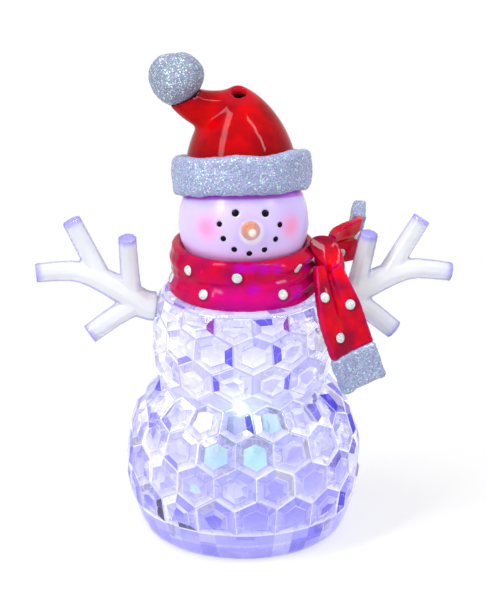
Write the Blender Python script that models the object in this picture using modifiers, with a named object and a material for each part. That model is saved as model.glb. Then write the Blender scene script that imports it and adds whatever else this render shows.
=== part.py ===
"""Tabletop light-up snowman: a clear body with honeycomb facets, a pearly head, a red hat and scarf with
glitter trims, clear twig arms, and a battery light in the base.

Metres, +Z up. The snowman faces -Y and stands on the foot ring of its body at z = 0.
"""

import math

import bmesh
import bpy
from mathutils import Matrix, Vector
from mathutils.bvhtree import BVHTree

MM = 0.001

# Fits and mesh fineness
GAP = 0.3 * MM
MERGE = 0.01 * MM
TURN_STEPS = 32
SMALL_STEPS = 16
PROUD = 1.0 * MM

# Faceted body, heights from the floor
BALL_RADIUS = 34.8 * MM
BALL_CENTRE = 20.0 * MM
BALL_FULLNESS = 3.0
FOOT_RADIUS = 29.8 * MM
FOOT_EDGE = 1.0 * MM
BAND_HEIGHT = 9.9 * MM
WAIST_RADIUS = 24.6 * MM
WAIST_HEIGHT = 45.6 * MM
SEAM_HEIGHT = 48.4 * MM
SEAM_WIDTH = 3.6 * MM
TORSO_RADIUS = 26.9 * MM
TORSO_CENTRE = 60.5 * MM
SHOULDER_RADIUS = 24.4 * MM
SHOULDER_HEIGHT = 75.7 * MM
SHOULDER_EDGE = 0.7 * MM
COLLAR_RADIUS = 15.0 * MM
COLLAR_HEIGHT = 8.0 * MM
NECK_RADIUS = 11.5 * MM
NECK_HEIGHT = 4.3 * MM

# Honeycomb
BALL_COLUMNS = 18
BALL_ROWS = 4
TORSO_COLUMNS = 14
TORSO_ROW = 9.2 * MM
TOP_ROW = 6.4 * MM
FACET_BEVEL = 2.2 * MM
FACET_RELIEF = 1.0 * MM

# Bore of the body, open at the foot and the neck
BORE_ROOM = 2.45 * MM
BORE_WAIST_RADIUS = 16.0 * MM
BORE_NECK_RADIUS = 9.5 * MM

# Head and face, heights from the middle of the head
HEAD_RADIUS = 19.4 * MM
HEAD_WALL = 1.8 * MM
EYE_SPREAD = 4.4 * MM
EYE_HEIGHT = 9.0 * MM
EYE_RADIUS = 1.0 * MM
MOUTH_WIDTH = 8.9 * MM
MOUTH_HEIGHT = 4.8 * MM
MOUTH_DROP = 8.2 * MM
MOUTH_DOTS = 7
MOUTH_DOT_RADIUS = 0.75 * MM
NOSE_RADIUS = 2.6 * MM
NOSE_LENGTH = 6.0 * MM
NOSE_HEIGHT = 3.3 * MM
NOSE_PEG_RADIUS = 1.2 * MM
NOSE_PEG_LENGTH = 2.0 * MM

# Hat, in its own tilted axes from the middle of the head
HAT_BACK = math.radians(14.5)
HAT_LEAN = math.radians(1.2)
HAT_RADIUS = 17.0 * MM
HAT_HEIGHT = 27.9 * MM
HAT_TAPER = 1.43
HAT_WALL = 2.0 * MM
HAT_HOLE_RADIUS = 2.2 * MM
HAT_HOLE_FRONT = 4.0 * MM
HORN_RISE = 19.5 * MM
HORN_REACH = 8.0 * MM
HORN_RADIUS = 7.0 * MM
HORN_END_RADIUS = 4.4 * MM
BRIM_HEIGHT = 11.4 * MM
BRIM_THICKNESS = 3.1 * MM
BRIM_ROUND = 1.7 * MM
BRIM_RISE = 1.6 * MM
POMPOM_RADIUS = 7.7 * MM
POMPOM_SIDE = 18.2 * MM
POMPOM_FRONT = 5.0 * MM
POMPOM_RISE = 30.4 * MM

# Scarf
SCARF_HEIGHT = 15.0 * MM
SCARF_THICKNESS = 3.6 * MM
SCARF_STEP = 0.7 * MM
SCARF_LIP = 1.2 * MM
SCARF_CREASE_DEPTH = 1.0 * MM
SCARF_CREASE_SLANT = 2.0 * MM
SCARF_SECTIONS = 36
KNOT_ANGLE = math.radians(71)
KNOT_WIDTH = 9.2 * MM
KNOT_DEPTH = 9.0 * MM
KNOT_HEIGHT = 12.0 * MM
KNOT_RISE = 12.3 * MM
TAIL_WIDTH = 14.2 * MM
TAIL_THICKNESS = 2.4 * MM
TAIL_FOLD = 1.5 * MM
HEM_LENGTH = 11.0 * MM
HEM_THICKNESS = 3.6 * MM

# Twig arms, as offsets outward, back and up from the seat on the torso
ARM_DROP = 4.7 * MM
ARM_TILT = math.radians(3.3)
ARM_PEG_RADIUS = 3.1 * MM
ARM_PEG_LENGTH = 5.5 * MM
ARM_ROOT_RADIUS = 4.6 * MM
TWIG_RADIUS = 2.9 * MM

# Base plate and the screws that hold it
PLATE_RIM = 0.5 * MM
PLATE_BOTTOM = 1.6 * MM
PLATE_THICKNESS = 2.4 * MM
SCREW_WALL = 0.6 * MM
SCREW_RADIUS = 1.0 * MM
SCREW_HEAD_RADIUS = 2.0 * MM
SCREW_HEAD_HEIGHT = 1.3 * MM
SCREW_LENGTH = 7.5 * MM
SCREW_SLOT = 0.5 * MM

# Battery box and its door
CELL_RADIUS = 5.8 * MM
CELL_LENGTH = 5.4 * MM
CELL_COUNT = 3
SPRING_ROOM = 2.7 * MM
CONTACT_THICKNESS = 0.5 * MM
BOX_WALL = 1.4 * MM
BOX_MIDDLE = 6.0 * MM
DOOR_THICKNESS = 1.3 * MM
DOOR_LAP = 1.6 * MM
DOOR_EAR = 6.4 * MM
DOOR_BOSS_RADIUS = 2.9 * MM
DOOR_BOSS_HEIGHT = 5.0 * MM

# Switch
SWITCH_MIDDLE = -11.0 * MM
SWITCH_TRAVEL = 3.0 * MM
SWITCH_WALL = 1.2 * MM
SLIDER_LENGTH = 6.0 * MM
SLIDER_WIDTH = 3.0 * MM
SLIDER_HEIGHT = 2.4 * MM
KNOB_LENGTH = 3.0 * MM
KNOB_WIDTH = 2.2 * MM
KNOB_BOTTOM = 0.7 * MM
SWITCH_HEIGHT = 5.0 * MM

# Light
BOARD_LENGTH = 16.0 * MM
BOARD_WIDTH = 16.0 * MM
BOARD_THICKNESS = 1.2 * MM
SPACER_RADIUS = 2.9 * MM
SPACER_BORE = 2.0 * MM
SPACER_HEIGHT = 10.0 * MM
LAMP_RADIUS = 2.5 * MM
LAMP_FLANGE_RADIUS = 2.9 * MM
LAMP_HEIGHT = 8.6 * MM
LEAD_PITCH = 2.54 * MM
LEAD_RADIUS = 0.25 * MM
RESISTOR_RADIUS = 1.1 * MM
RESISTOR_LENGTH = 6.0 * MM
WIRE_RADIUS = 0.55 * MM

# Heights that follow from the sizes above
COLLAR_TOP = SHOULDER_HEIGHT + COLLAR_HEIGHT
HEAD_RIM = COLLAR_TOP + GAP
HEAD_INNER_RADIUS = HEAD_RADIUS - HEAD_WALL
HEAD_OPENING = NECK_RADIUS + GAP
HEAD_CENTRE = HEAD_RIM + math.sqrt(HEAD_INNER_RADIUS**2 - HEAD_OPENING**2)
HAT_EDGE = math.sqrt(HEAD_RADIUS**2 - (HAT_RADIUS - HAT_WALL - GAP) ** 2)
PLATE_TOP = PLATE_BOTTOM + PLATE_THICKNESS
SCARF_BOTTOM = SHOULDER_HEIGHT + GAP
SCARF_TOP = SCARF_BOTTOM + SCARF_HEIGHT
SCARF_SEAT = math.sqrt(HEAD_RADIUS**2 - (SCARF_TOP - SCARF_LIP - HEAD_CENTRE) ** 2) + 1.4 * GAP
SCARF_UPPER_RADIUS = SCARF_SEAT + SCARF_THICKNESS
SCARF_LOWER_RADIUS = SCARF_UPPER_RADIUS + SCARF_STEP
ARM_HEIGHT = SHOULDER_HEIGHT - ARM_DROP
BOX_LENGTH = CONTACT_THICKNESS + CELL_COUNT * (CELL_LENGTH + GAP) + SPRING_ROOM + 3 * GAP
BOX_WIDTH = 2 * (CELL_RADIUS + GAP)
BOX_CORNER = math.hypot(BOX_LENGTH / 2 + BOX_WALL, BOX_MIDDLE + BOX_WIDTH / 2 + BOX_WALL)
BORE_BASE_RADIUS = BOX_CORNER + BORE_ROOM
SCREW_CIRCLE = BORE_BASE_RADIUS + SCREW_WALL + GAP + SCREW_RADIUS
PLATE_RADIUS = SCREW_CIRCLE + SCREW_HEAD_RADIUS + GAP + PLATE_RIM
DOOR_TOP = PLATE_BOTTOM + DOOR_THICKNESS
CELL_MIDDLE = DOOR_TOP + GAP + CELL_RADIUS
BOX_CEILING = CELL_MIDDLE + CELL_RADIUS + GAP
BOX_TOP = BOX_CEILING + BOX_WALL
BOARD_BOTTOM = BOX_TOP + GAP
BOARD_TOP = BOARD_BOTTOM + BOARD_THICKNESS
LAMP_BOTTOM = BOARD_TOP + GAP + SPACER_HEIGHT + GAP


def clear_scene():
    for obj in list(bpy.data.objects):
        bpy.data.objects.remove(obj)


def new_collection(name):
    collection = bpy.data.collections.new(name)
    bpy.context.scene.collection.children.link(collection)
    return collection


def new_material(name, colour, roughness, metallic=0.0, transmission=0.0):
    material = bpy.data.materials.new(name)
    material.use_nodes = True
    shader = material.node_tree.nodes["Principled BSDF"]
    shader.inputs["Base Color"].default_value = (*colour, 1.0)
    shader.inputs["Roughness"].default_value = roughness
    shader.inputs["Metallic"].default_value = metallic
    shader.inputs["Transmission Weight"].default_value = transmission
    material.diffuse_color = (*colour, 1.0)
    return material


def add_part(name, data, material):
    obj = bpy.data.objects.new(name, data)
    PARTS.objects.link(obj)
    if material:
        data.materials.append(material)
    return obj


def as_tool(obj):
    """Moves an object that only shapes others out of the parts."""
    PARTS.objects.unlink(obj)
    TOOLS.objects.link(obj)
    obj.hide_render = True
    obj.display_type = "WIRE"
    return obj


def combine(target, operation, *tools):
    """Joins each tool to the target, or cuts it away."""
    for tool in tools:
        modifier = target.modifiers.new(tool.name, "BOOLEAN")
        modifier.operation = operation
        modifier.object = as_tool(tool)


def mesh_part(name, bm, material=None, smooth=False):
    bmesh.ops.recalc_face_normals(bm, faces=bm.faces)
    mesh = bpy.data.meshes.new(name)
    bm.to_mesh(mesh)
    bm.free()
    if smooth:
        mesh.shade_smooth()
    return add_part(name, mesh, material)


def box(name, low, high, material=None):
    bm = bmesh.new()
    bmesh.ops.create_cube(bm, size=1.0)
    low = Vector(low)
    high = Vector(high)
    for v in bm.verts:
        v.co = Vector(low[i] if v.co[i] < 0 else high[i] for i in range(3))
    return mesh_part(name, bm, material)


def rod(name, radius, start, end, material=None, steps=SMALL_STEPS):
    """A round bar between two points."""
    start = Vector(start)
    end = Vector(end)
    turn = (end - start).to_track_quat("Z", "Y").to_matrix().to_4x4()
    place = Matrix.Translation((start + end) / 2) @ turn
    bm = bmesh.new()
    bmesh.ops.create_cone(
        bm, cap_ends=True, segments=steps, radius1=radius, radius2=radius,
        depth=(end - start).length, matrix=place,
    )
    return mesh_part(name, bm, material)


def ball(name, radius, centre, material=None, columns=20, rows=12):
    bm = bmesh.new()
    bmesh.ops.create_uvsphere(
        bm, u_segments=columns, v_segments=rows, radius=radius, matrix=Matrix.Translation(centre)
    )
    return mesh_part(name, bm, material, smooth=True)


def turned(name, profile, material=None, steps=TURN_STEPS, closed=False):
    """A turned piece: the profile gives (radius, height) down the outer side."""
    edges = [(i, i + 1) for i in range(len(profile) - 1)]
    if closed:
        edges.append((len(profile) - 1, 0))
    mesh = bpy.data.meshes.new(name)
    mesh.from_pydata([(radius, 0, z) for radius, z in profile], edges, [])
    obj = add_part(name, mesh, material)
    screw = obj.modifiers.new("Turn", "SCREW")
    screw.steps = steps
    screw.render_steps = steps
    screw.use_merge_vertices = True
    screw.merge_threshold = MERGE
    return obj


def tube(name, route, radius, material=None, resolution=2):
    """A round tube along a route of (point, share of the radius)."""
    curve = bpy.data.curves.new(name, "CURVE")
    curve.dimensions = "3D"
    curve.bevel_depth = radius
    curve.bevel_resolution = resolution
    curve.use_fill_caps = True
    spline = curve.splines.new("POLY")
    spline.points.add(len(route) - 1)
    for point, (place, share) in zip(spline.points, route):
        point.co = (*place, 1.0)
        point.radius = share
    return add_part(name, curve, material)


def solid_tube(name, route, radius, material=None, resolution=3):
    """The same tube as a closed mesh, for joining and cutting."""
    guide = tube(name + "_guide", route, radius, None, resolution)
    graph = bpy.context.evaluated_depsgraph_get()
    mesh = bpy.data.meshes.new_from_object(guide.evaluated_get(graph))
    bpy.data.objects.remove(guide)
    bm = bmesh.new()
    bm.from_mesh(mesh)
    bmesh.ops.remove_doubles(bm, verts=bm.verts, dist=MERGE)
    return mesh_part(name, bm, material, smooth=True)


def smooth_route(stops, steps):
    """A curve through stops of (point, share), as more stops of the same kind."""
    values = [Vector((*point, share)) for point, share in stops]
    values = [2 * values[0] - values[1], *values, 2 * values[-1] - values[-2]]
    route = []
    for a, b, c, d in zip(values, values[1:], values[2:], values[3:]):
        for step in range(steps):
            t = step / steps
            middle = 2 * b + (c - a) * t + (2 * a - 5 * b + 4 * c - d) * t**2
            route.append((middle + (3 * b - a - 3 * c + d) * t**3) / 2)
    route.append(values[-2])
    return [(value.xyz, value.w) for value in route]


def round_axis(radius, angle, z):
    """A point round the Z axis, with the angle from the front towards +X."""
    return Vector((radius * math.sin(angle), -radius * math.cos(angle), z))


def arc(radius, height, size, start, end, steps):
    """Profile points along an arc, with angles in degrees from the outward direction."""
    angles = [math.radians(start + (end - start) * i / steps) for i in range(steps + 1)]
    return [(radius + size * math.cos(a), height + size * math.sin(a)) for a in angles]


def rounded(obj, width, segments=2):
    bevel = obj.modifiers.new("Rounded edges", "BEVEL")
    bevel.width = width
    bevel.segments = segments
    return obj


def ball_radius_at(z):
    if z < BALL_CENTRE:
        share = (BALL_CENTRE - z) / BALL_CENTRE
        return BALL_RADIUS * math.sqrt(1 - (1 - (FOOT_RADIUS / BALL_RADIUS) ** 2) * share**2)
    share = (z - BALL_CENTRE) / (WAIST_HEIGHT - BALL_CENTRE)
    lost = (1 - (WAIST_RADIUS / BALL_RADIUS) ** BALL_FULLNESS) * share**BALL_FULLNESS
    return BALL_RADIUS * (1 - lost) ** (1 / BALL_FULLNESS)


def torso_radius_at(z):
    end = WAIST_RADIUS if z < TORSO_CENTRE else SHOULDER_RADIUS
    height = WAIST_HEIGHT if z < TORSO_CENTRE else SHOULDER_HEIGHT
    share = (z - TORSO_CENTRE) / (height - TORSO_CENTRE)
    return TORSO_RADIUS * math.sqrt(1 - (1 - (end / TORSO_RADIUS) ** 2) * share**2)


def body_radius_at(z):
    return ball_radius_at(z) if z < WAIST_HEIGHT else torso_radius_at(z)


def head_radius_at(z):
    return math.sqrt(max(HEAD_RADIUS**2 - (z - HEAD_CENTRE) ** 2, 0))


def even_heights(radius_at, low, high, rows):
    """Heights that cut a curved profile into rows of equal length."""
    samples = 400
    heights = [low + (high - low) * i / samples for i in range(samples + 1)]
    lengths = [0.0]
    for below, above in zip(heights, heights[1:]):
        lengths.append(lengths[-1] + math.hypot(above - below, radius_at(above) - radius_at(below)))
    marks = [lengths[-1] * row / rows for row in range(rows)]
    return [heights[min(i for i, length in enumerate(lengths) if length >= mark)] for mark in marks] + [high]


def honeycomb(bm, columns, heights, flat_height, shift=0):
    """Rows of point-up hexagons round the body, one row between each two heights, with one end cut flat."""
    rings = []
    for line, height in enumerate(heights):
        step = heights[line + 1] - height if line + 1 < len(heights) else height - heights[line - 1]
        tooth = 0.0 if height == flat_height else step / 6
        ring = []
        for corner in range(2 * columns):
            z = height + (tooth if (corner + line) % 2 == 0 else -tooth)
            angle = (corner - 1 + shift) * math.pi / columns
            ring.append(bm.verts.new(round_axis(body_radius_at(z), angle, z)))
        rings.append(ring)
    rows = []
    for line, (low, high) in enumerate(zip(rings, rings[1:])):
        row = []
        for first in range(line % 2, 2 * columns, 2):
            trio = [(first + step) % (2 * columns) for step in range(3)]
            row.append(bm.faces.new([low[i] for i in trio] + [high[i] for i in reversed(trio)]))
        rows.append(row)
    return rings, rows


def ring_edges(bm, ring):
    return [bm.edges.get((ring[i - 1], ring[i])) for i in range(len(ring))]


def grow_ring(bm, edges, radius, z):
    """Extrudes a closed ring of edges to a new radius and height round the Z axis."""
    made = bmesh.ops.extrude_edge_only(bm, edges=edges)["geom"]
    corners = {item for item in made if isinstance(item, bmesh.types.BMVert)}
    for corner in corners:
        corner.co = round_axis(radius, math.atan2(corner.co.x, -corner.co.y), z)
    return [item for item in made if isinstance(item, bmesh.types.BMEdge) and set(item.verts) <= corners]


def raise_facets(bm, row, bevel):
    """Lifts each hexagon of a row to a flat facet with a sloping border."""
    bmesh.ops.inset_individual(bm, faces=row, thickness=bevel, depth=FACET_RELIEF, use_even_offset=True)
    bmesh.ops.planar_faces(bm, faces=row, iterations=20, factor=1.0)


def faceted_body():
    """The outside of the body as one closed mesh: foot, ball, waist, torso, shoulder and neck."""
    torso_top = SHOULDER_HEIGHT - SHOULDER_EDGE
    torso_low = SEAM_HEIGHT + SEAM_WIDTH / 2
    room = torso_top - TOP_ROW - torso_low
    full_rows = max(1, round(room / TORSO_ROW))
    torso_heights = [torso_low + room * row / full_rows for row in range(full_rows + 1)] + [torso_top]
    ball_heights = even_heights(body_radius_at, BAND_HEIGHT, SEAM_HEIGHT - SEAM_WIDTH / 2, BALL_ROWS)
    bm = bmesh.new()
    ball_rings, ball_rows = honeycomb(bm, BALL_COLUMNS, ball_heights, BAND_HEIGHT)
    arm_shift = (TORSO_COLUMNS // 2 + full_rows) % 2
    torso_rings, torso_rows = honeycomb(bm, TORSO_COLUMNS, torso_heights, torso_top, arm_shift)
    seam = ring_edges(bm, ball_rings[-1]) + ring_edges(bm, torso_rings[0])
    bmesh.ops.bridge_loops(bm, edges=seam)
    edges = ring_edges(bm, ball_rings[0])
    for z in (BAND_HEIGHT * 2 / 3, BAND_HEIGHT / 3, FOOT_EDGE):
        edges = grow_ring(bm, edges, ball_radius_at(z), z)
    edges = grow_ring(bm, edges, ball_radius_at(0) - FOOT_EDGE, 0)
    bmesh.ops.edgeloop_fill(bm, edges=edges)
    edges = ring_edges(bm, torso_rings[-1])
    steps = (
        (torso_radius_at(SHOULDER_HEIGHT) - SHOULDER_EDGE, SHOULDER_HEIGHT),
        (COLLAR_RADIUS, SHOULDER_HEIGHT),
        (COLLAR_RADIUS, COLLAR_TOP),
        (NECK_RADIUS, COLLAR_TOP),
        (NECK_RADIUS, COLLAR_TOP + NECK_HEIGHT),
    )
    for radius, z in steps:
        edges = grow_ring(bm, edges, radius, z)
    bmesh.ops.edgeloop_fill(bm, edges=edges)
    bmesh.ops.recalc_face_normals(bm, faces=bm.faces)
    for row in ball_rows + torso_rows:
        raise_facets(bm, row, FACET_BEVEL)
    return bm


def arm_seats(bm):
    """Where the arms meet the torso: the point and the outward direction of the facet on each side."""
    tree = BVHTree.FromBMesh(bm)
    seats = {}
    for side in (-1, 1):
        hit, normal, _, _ = tree.ray_cast((side * 2 * TORSO_RADIUS, 0, ARM_HEIGHT), (-side, 0, 0))
        seats[side] = (hit, Vector((normal.x, 0, normal.z)).normalized())
    return seats


def base_screw_places():
    return [round_axis(SCREW_CIRCLE, math.radians(60 + 120 * i), PLATE_BOTTOM) for i in range(3)]


def make_body():
    bm = faceted_body()
    seats = arm_seats(bm)
    body = mesh_part("body_shell", bm, CLEAR)
    neck_top = COLLAR_TOP + NECK_HEIGHT
    bore = turned(
        "body_bore",
        [
            (0, neck_top + PROUD),
            (BORE_NECK_RADIUS, neck_top + PROUD),
            (BORE_NECK_RADIUS, SHOULDER_HEIGHT),
            (BORE_WAIST_RADIUS, WAIST_HEIGHT),
            (BORE_BASE_RADIUS, PLATE_TOP + GAP),
            (PLATE_RADIUS + GAP, PLATE_TOP + GAP),
            (PLATE_RADIUS + GAP, -PROUD),
            (0, -PROUD),
        ],
    )
    sockets = []
    for side, (seat, out) in seats.items():
        depth = ARM_PEG_LENGTH + GAP
        sockets.append(rod(f"arm_socket_{side}", ARM_PEG_RADIUS + GAP, seat + out * PROUD, seat - out * depth))
    pilots = []
    for i, place in enumerate(base_screw_places()):
        tip = place + Vector((0, 0, SCREW_HEAD_HEIGHT + SCREW_LENGTH))
        pilots.append(rod(f"screw_pilot_{i}", SCREW_RADIUS + GAP, place, tip, steps=12))
    combine(body, "DIFFERENCE", bore, *sockets, *pilots)
    return seats


def make_arm(name, side, seat, out):
    """One clear twig arm: a stem that bends outward, three side twigs and a peg into the torso."""
    turn = Matrix.Rotation(ARM_TILT, 3, "Y")

    def place(outward, back, up):
        return seat + turn @ Vector((side * outward, back, up)) * MM

    root = ARM_ROOT_RADIUS / TWIG_RADIUS
    stem = [
        (seat + out * GAP, root),
        (seat + out * 4 * MM, root * 0.97),
        (place(9.5, 0, 4.3), 1.43),
        (place(18.8, 0, 9.2), 1.25),
        (place(26, 0, 10.7), 1.08),
        (place(36.2, 0, 9.8), 1.0),
    ]
    twigs = (
        [(place(16.5, 0, 8), 1.15), (place(20.5, 1, 15.5), 1.05), (place(26.3, 2, 25.9), 1.0)],
        [(place(7.5, 0, 3.5), 1.15), (place(8.5, -1.2, 11.5), 1.03), (place(9.8, -3, 22.5), 0.97)],
        [(place(5, 0, 1.5), 1.25), (place(12, -1.5, -2.6), 1.12), (place(19.8, -3, -8.2), 1.04)],
    )
    arm = solid_tube(name, smooth_route(stem, 2), TWIG_RADIUS, CLEAR)
    joined = [
        solid_tube(f"{name}_twig_{i}", smooth_route(twig, 3), TWIG_RADIUS) for i, twig in enumerate(twigs)
    ]
    peg = rod(f"{name}_peg", ARM_PEG_RADIUS, seat + out * 2 * MM, seat - out * ARM_PEG_LENGTH)
    combine(arm, "UNION", *joined, peg)


def face_spot(x, z):
    """A point of the head's front, from the middle of the head."""
    return Vector((x, -math.sqrt(HEAD_RADIUS**2 - x**2 - z**2), z))


def make_head():
    rim = math.asin((HEAD_RIM - HEAD_CENTRE) / HEAD_RADIUS)
    inner_rim = math.asin((HEAD_RIM - HEAD_CENTRE) / HEAD_INNER_RADIUS)
    outer = arc(0, HEAD_CENTRE, HEAD_RADIUS, 90, math.degrees(rim), 10)
    inner = arc(0, HEAD_CENTRE, HEAD_INNER_RADIUS, math.degrees(inner_rim), 90, 6)
    head = turned("head_shell", outer + inner, PEARL)
    centre = Vector((0, 0, HEAD_CENTRE))
    spots = [(side * EYE_SPREAD, EYE_HEIGHT, EYE_RADIUS) for side in (-1, 1)]
    for i in range(MOUTH_DOTS):
        turn = math.pi * (i / (MOUTH_DOTS - 1) - 0.5)
        x = MOUTH_WIDTH * math.sin(turn)
        spots.append((x, MOUTH_HEIGHT - MOUTH_DROP * math.cos(turn), MOUTH_DOT_RADIUS))
    dimples = []
    for i, (x, z, radius) in enumerate(spots):
        spot = face_spot(x, z)
        lifted = spot * (1 + 0.45 * radius / HEAD_RADIUS)
        dimples.append(ball(f"dimple_{i}", radius * 1.1, centre + lifted, columns=8, rows=6))
    out = face_spot(0, NOSE_HEIGHT).normalized()
    hole = rod(
        "nose_hole", NOSE_PEG_RADIUS + GAP, centre + out * (HEAD_RADIUS + PROUD),
        centre + out * (HEAD_INNER_RADIUS - PROUD), steps=12,
    )
    combine(head, "DIFFERENCE", hole, *dimples)
    nose = turned(
        "nose",
        [
            (0, NOSE_LENGTH),
            (0.25 * NOSE_RADIUS, 0.96 * NOSE_LENGTH),
            (0.42 * NOSE_RADIUS, 0.84 * NOSE_LENGTH),
            (0.92 * NOSE_RADIUS, 0.22 * NOSE_LENGTH),
            (NOSE_RADIUS, 0.07 * NOSE_LENGTH),
            (0.93 * NOSE_RADIUS, 0),
            (NOSE_PEG_RADIUS, 0),
            (NOSE_PEG_RADIUS, -NOSE_PEG_LENGTH),
            (0, -NOSE_PEG_LENGTH),
        ],
        ORANGE, SMALL_STEPS,
    )
    nose.location = centre + out * (HEAD_RADIUS + GAP)
    nose.rotation_euler = out.to_track_quat("Z", "Y").to_euler()


def hat_outline(radius, height, steps):
    """The crown's profile from its top down to its edge."""
    turns = [math.pi / 2 * (1 - i / steps) for i in range(steps)]
    curve = [(radius * math.cos(a) ** HAT_TAPER, HAT_EDGE + height * math.sin(a)) for a in turns]
    return [(0, HAT_EDGE + height), *curve[1:], (radius, HAT_EDGE)]


def hat_radius_at(z):
    """The crown's radius at a height in the hat's axes."""
    return HAT_RADIUS * math.cos(math.asin((z - HAT_EDGE) / HAT_HEIGHT)) ** HAT_TAPER


def make_hat():
    tilt = bpy.data.objects.new("hat_tilt", None)
    PARTS.objects.link(tilt)
    tilt.location = (0, 0, HEAD_CENTRE)
    tilt.rotation_euler = (-HAT_BACK, -HAT_LEAN, 0)
    pompom_place = Vector((-POMPOM_SIDE, -POMPOM_FRONT, HAT_EDGE + POMPOM_RISE))
    horn_start = Vector((-3 * MM, -0.5 * MM, HAT_EDGE + HORN_RISE))
    elbow = horn_start + Vector((-1.0, -0.25, 0.2)) * HORN_REACH
    neck = pompom_place + Vector((0.26, 0.1, -0.77)) * POMPOM_RADIUS
    end_share = HORN_END_RADIUS / HORN_RADIUS
    horn_stops = [(horn_start, 1.0), (elbow, 0.83), (neck, 1.07 * end_share), (pompom_place, end_share)]
    crown = turned("hat_crown", [*hat_outline(HAT_RADIUS, HAT_HEIGHT, 10), (0, HAT_EDGE)], RED)
    horn = solid_tube("hat_horn", smooth_route(horn_stops, 3), HORN_RADIUS, resolution=4)
    cavity_outline = hat_outline(HAT_RADIUS - HAT_WALL, HAT_HEIGHT - HAT_WALL, 7)
    floor = HAT_EDGE - PROUD
    cavity_profile = [*cavity_outline, (HAT_RADIUS - HAT_WALL, floor), (0, floor)]
    cavity = turned("hat_cavity", cavity_profile, steps=24)
    hole_top = HAT_EDGE + HAT_HEIGHT + PROUD
    hole_floor = HAT_EDGE + HAT_HEIGHT - 4 * HAT_WALL
    hole = rod("hat_hole", HAT_HOLE_RADIUS, (0, -HAT_HOLE_FRONT, hole_floor), (0, -HAT_HOLE_FRONT, hole_top))
    dent = ball("pompom_seat", POMPOM_RADIUS + GAP, pompom_place)
    combine(crown, "UNION", horn)
    combine(crown, "DIFFERENCE", cavity, hole, dent)
    pompom = ball("hat_pompom", POMPOM_RADIUS, pompom_place, GLITTER)
    middle = HAT_EDGE + BRIM_RISE
    high = middle + BRIM_HEIGHT / 2 - BRIM_ROUND
    low = middle - BRIM_HEIGHT / 2 + BRIM_ROUND
    seat = max(HAT_RADIUS, math.sqrt(HEAD_RADIUS**2 - (low - BRIM_ROUND / 2) ** 2)) + GAP
    inside = seat + BRIM_ROUND
    outside = seat + BRIM_THICKNESS - BRIM_ROUND
    section = arc(outside, high, BRIM_ROUND, 90, 0, 2) + arc(outside, low, BRIM_ROUND, 0, -90, 2)
    section += arc(inside, low, BRIM_ROUND, -90, -180, 2)
    section += [(hat_radius_at(z) + GAP, z) for z in (high, high + 0.8 * BRIM_ROUND)]
    brim = turned("hat_brim", section, GLITTER, closed=True)
    for obj in (crown, horn, cavity, hole, dent, pompom, brim):
        obj.parent = tilt


def scarf_section(angle, swell):
    """The scarf's section at one angle round the neck: up the inner side, then down its two wraps."""
    slant = SCARF_CREASE_SLANT * math.cos(angle - KNOT_ANGLE)
    crease = SCARF_BOTTOM + SCARF_HEIGHT / 2 + slant
    lip = SCARF_TOP - SCARF_LIP
    clear = COLLAR_RADIUS + 1.4 * GAP
    heights = [HEAD_RIM + (lip - HEAD_RIM) * i / 3 for i in range(4)]
    inner = [(clear, SCARF_BOTTOM)]
    inner += [(max(clear, head_radius_at(z) + 1.4 * GAP), z) for z in heights]
    upper = SCARF_UPPER_RADIUS + swell
    lower = SCARF_LOWER_RADIUS + swell
    upper_middle = (SCARF_TOP + crease) / 2
    lower_middle = (SCARF_BOTTOM + crease) / 2
    outer = [
        (upper - 1.6 * MM, SCARF_TOP),
        (upper - 0.5 * MM, SCARF_TOP - 0.9 * MM),
        (upper, upper_middle),
        (upper - 0.3 * SCARF_CREASE_DEPTH, crease + 1.2 * MM),
        (upper - SCARF_CREASE_DEPTH, crease),
        (lower - SCARF_CREASE_DEPTH, crease - 1.2 * MM),
        (lower, lower_middle),
        (lower - 0.3 * MM, SCARF_BOTTOM + 1.0 * MM),
        (lower - 1.0 * MM, SCARF_BOTTOM),
    ]
    return inner + outer


def scarf_ring(name, swell, material=None):
    """The scarf round the neck, or a larger copy of it that keeps its neighbours clear."""
    bm = bmesh.new()
    rings = []
    for i in range(SCARF_SECTIONS):
        angle = 2 * math.pi * i / SCARF_SECTIONS
        rings.append([bm.verts.new(round_axis(radius, angle, z)) for radius, z in scarf_section(angle, swell)])
    for i, ring in enumerate(rings):
        last = rings[i - 1]
        for k in range(len(ring)):
            bm.faces.new((last[k - 1], ring[k - 1], ring[k], last[k]))
    return mesh_part(name, bm, material, smooth=True)


def scarf_knot(name, swell, material=None):
    """The knot as a rounded block with a pinched middle, or a larger copy of it."""
    bm = bmesh.new()
    bmesh.ops.create_cube(bm, size=1.0)
    upright = [e for e in bm.edges if abs(e.verts[0].co.z - e.verts[1].co.z) > 0.5]
    bmesh.ops.subdivide_edges(bm, edges=upright, cuts=2, use_grid_fill=True)
    size = Vector((KNOT_WIDTH, KNOT_DEPTH, KNOT_HEIGHT))
    for v in bm.verts:
        pinch = 1.0 if abs(v.co.z) > 0.4 else 1.12
        v.co = Vector((v.co.x * size.x * pinch, v.co.y * size.y * pinch, v.co.z * size.z))
        v.co += Vector(math.copysign(swell, c) for c in v.co)
    obj = mesh_part(name, bm, material, smooth=True)
    soft = obj.modifiers.new("Soft", "SUBSURF")
    soft.levels = 2
    soft.render_levels = 2
    obj.location = knot_place()
    obj.rotation_euler = (0, 0, KNOT_ANGLE)
    return obj


def knot_place():
    return round_axis(SCARF_LOWER_RADIUS + 0.3 * KNOT_DEPTH, KNOT_ANGLE, SCARF_BOTTOM + KNOT_RISE)


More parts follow.
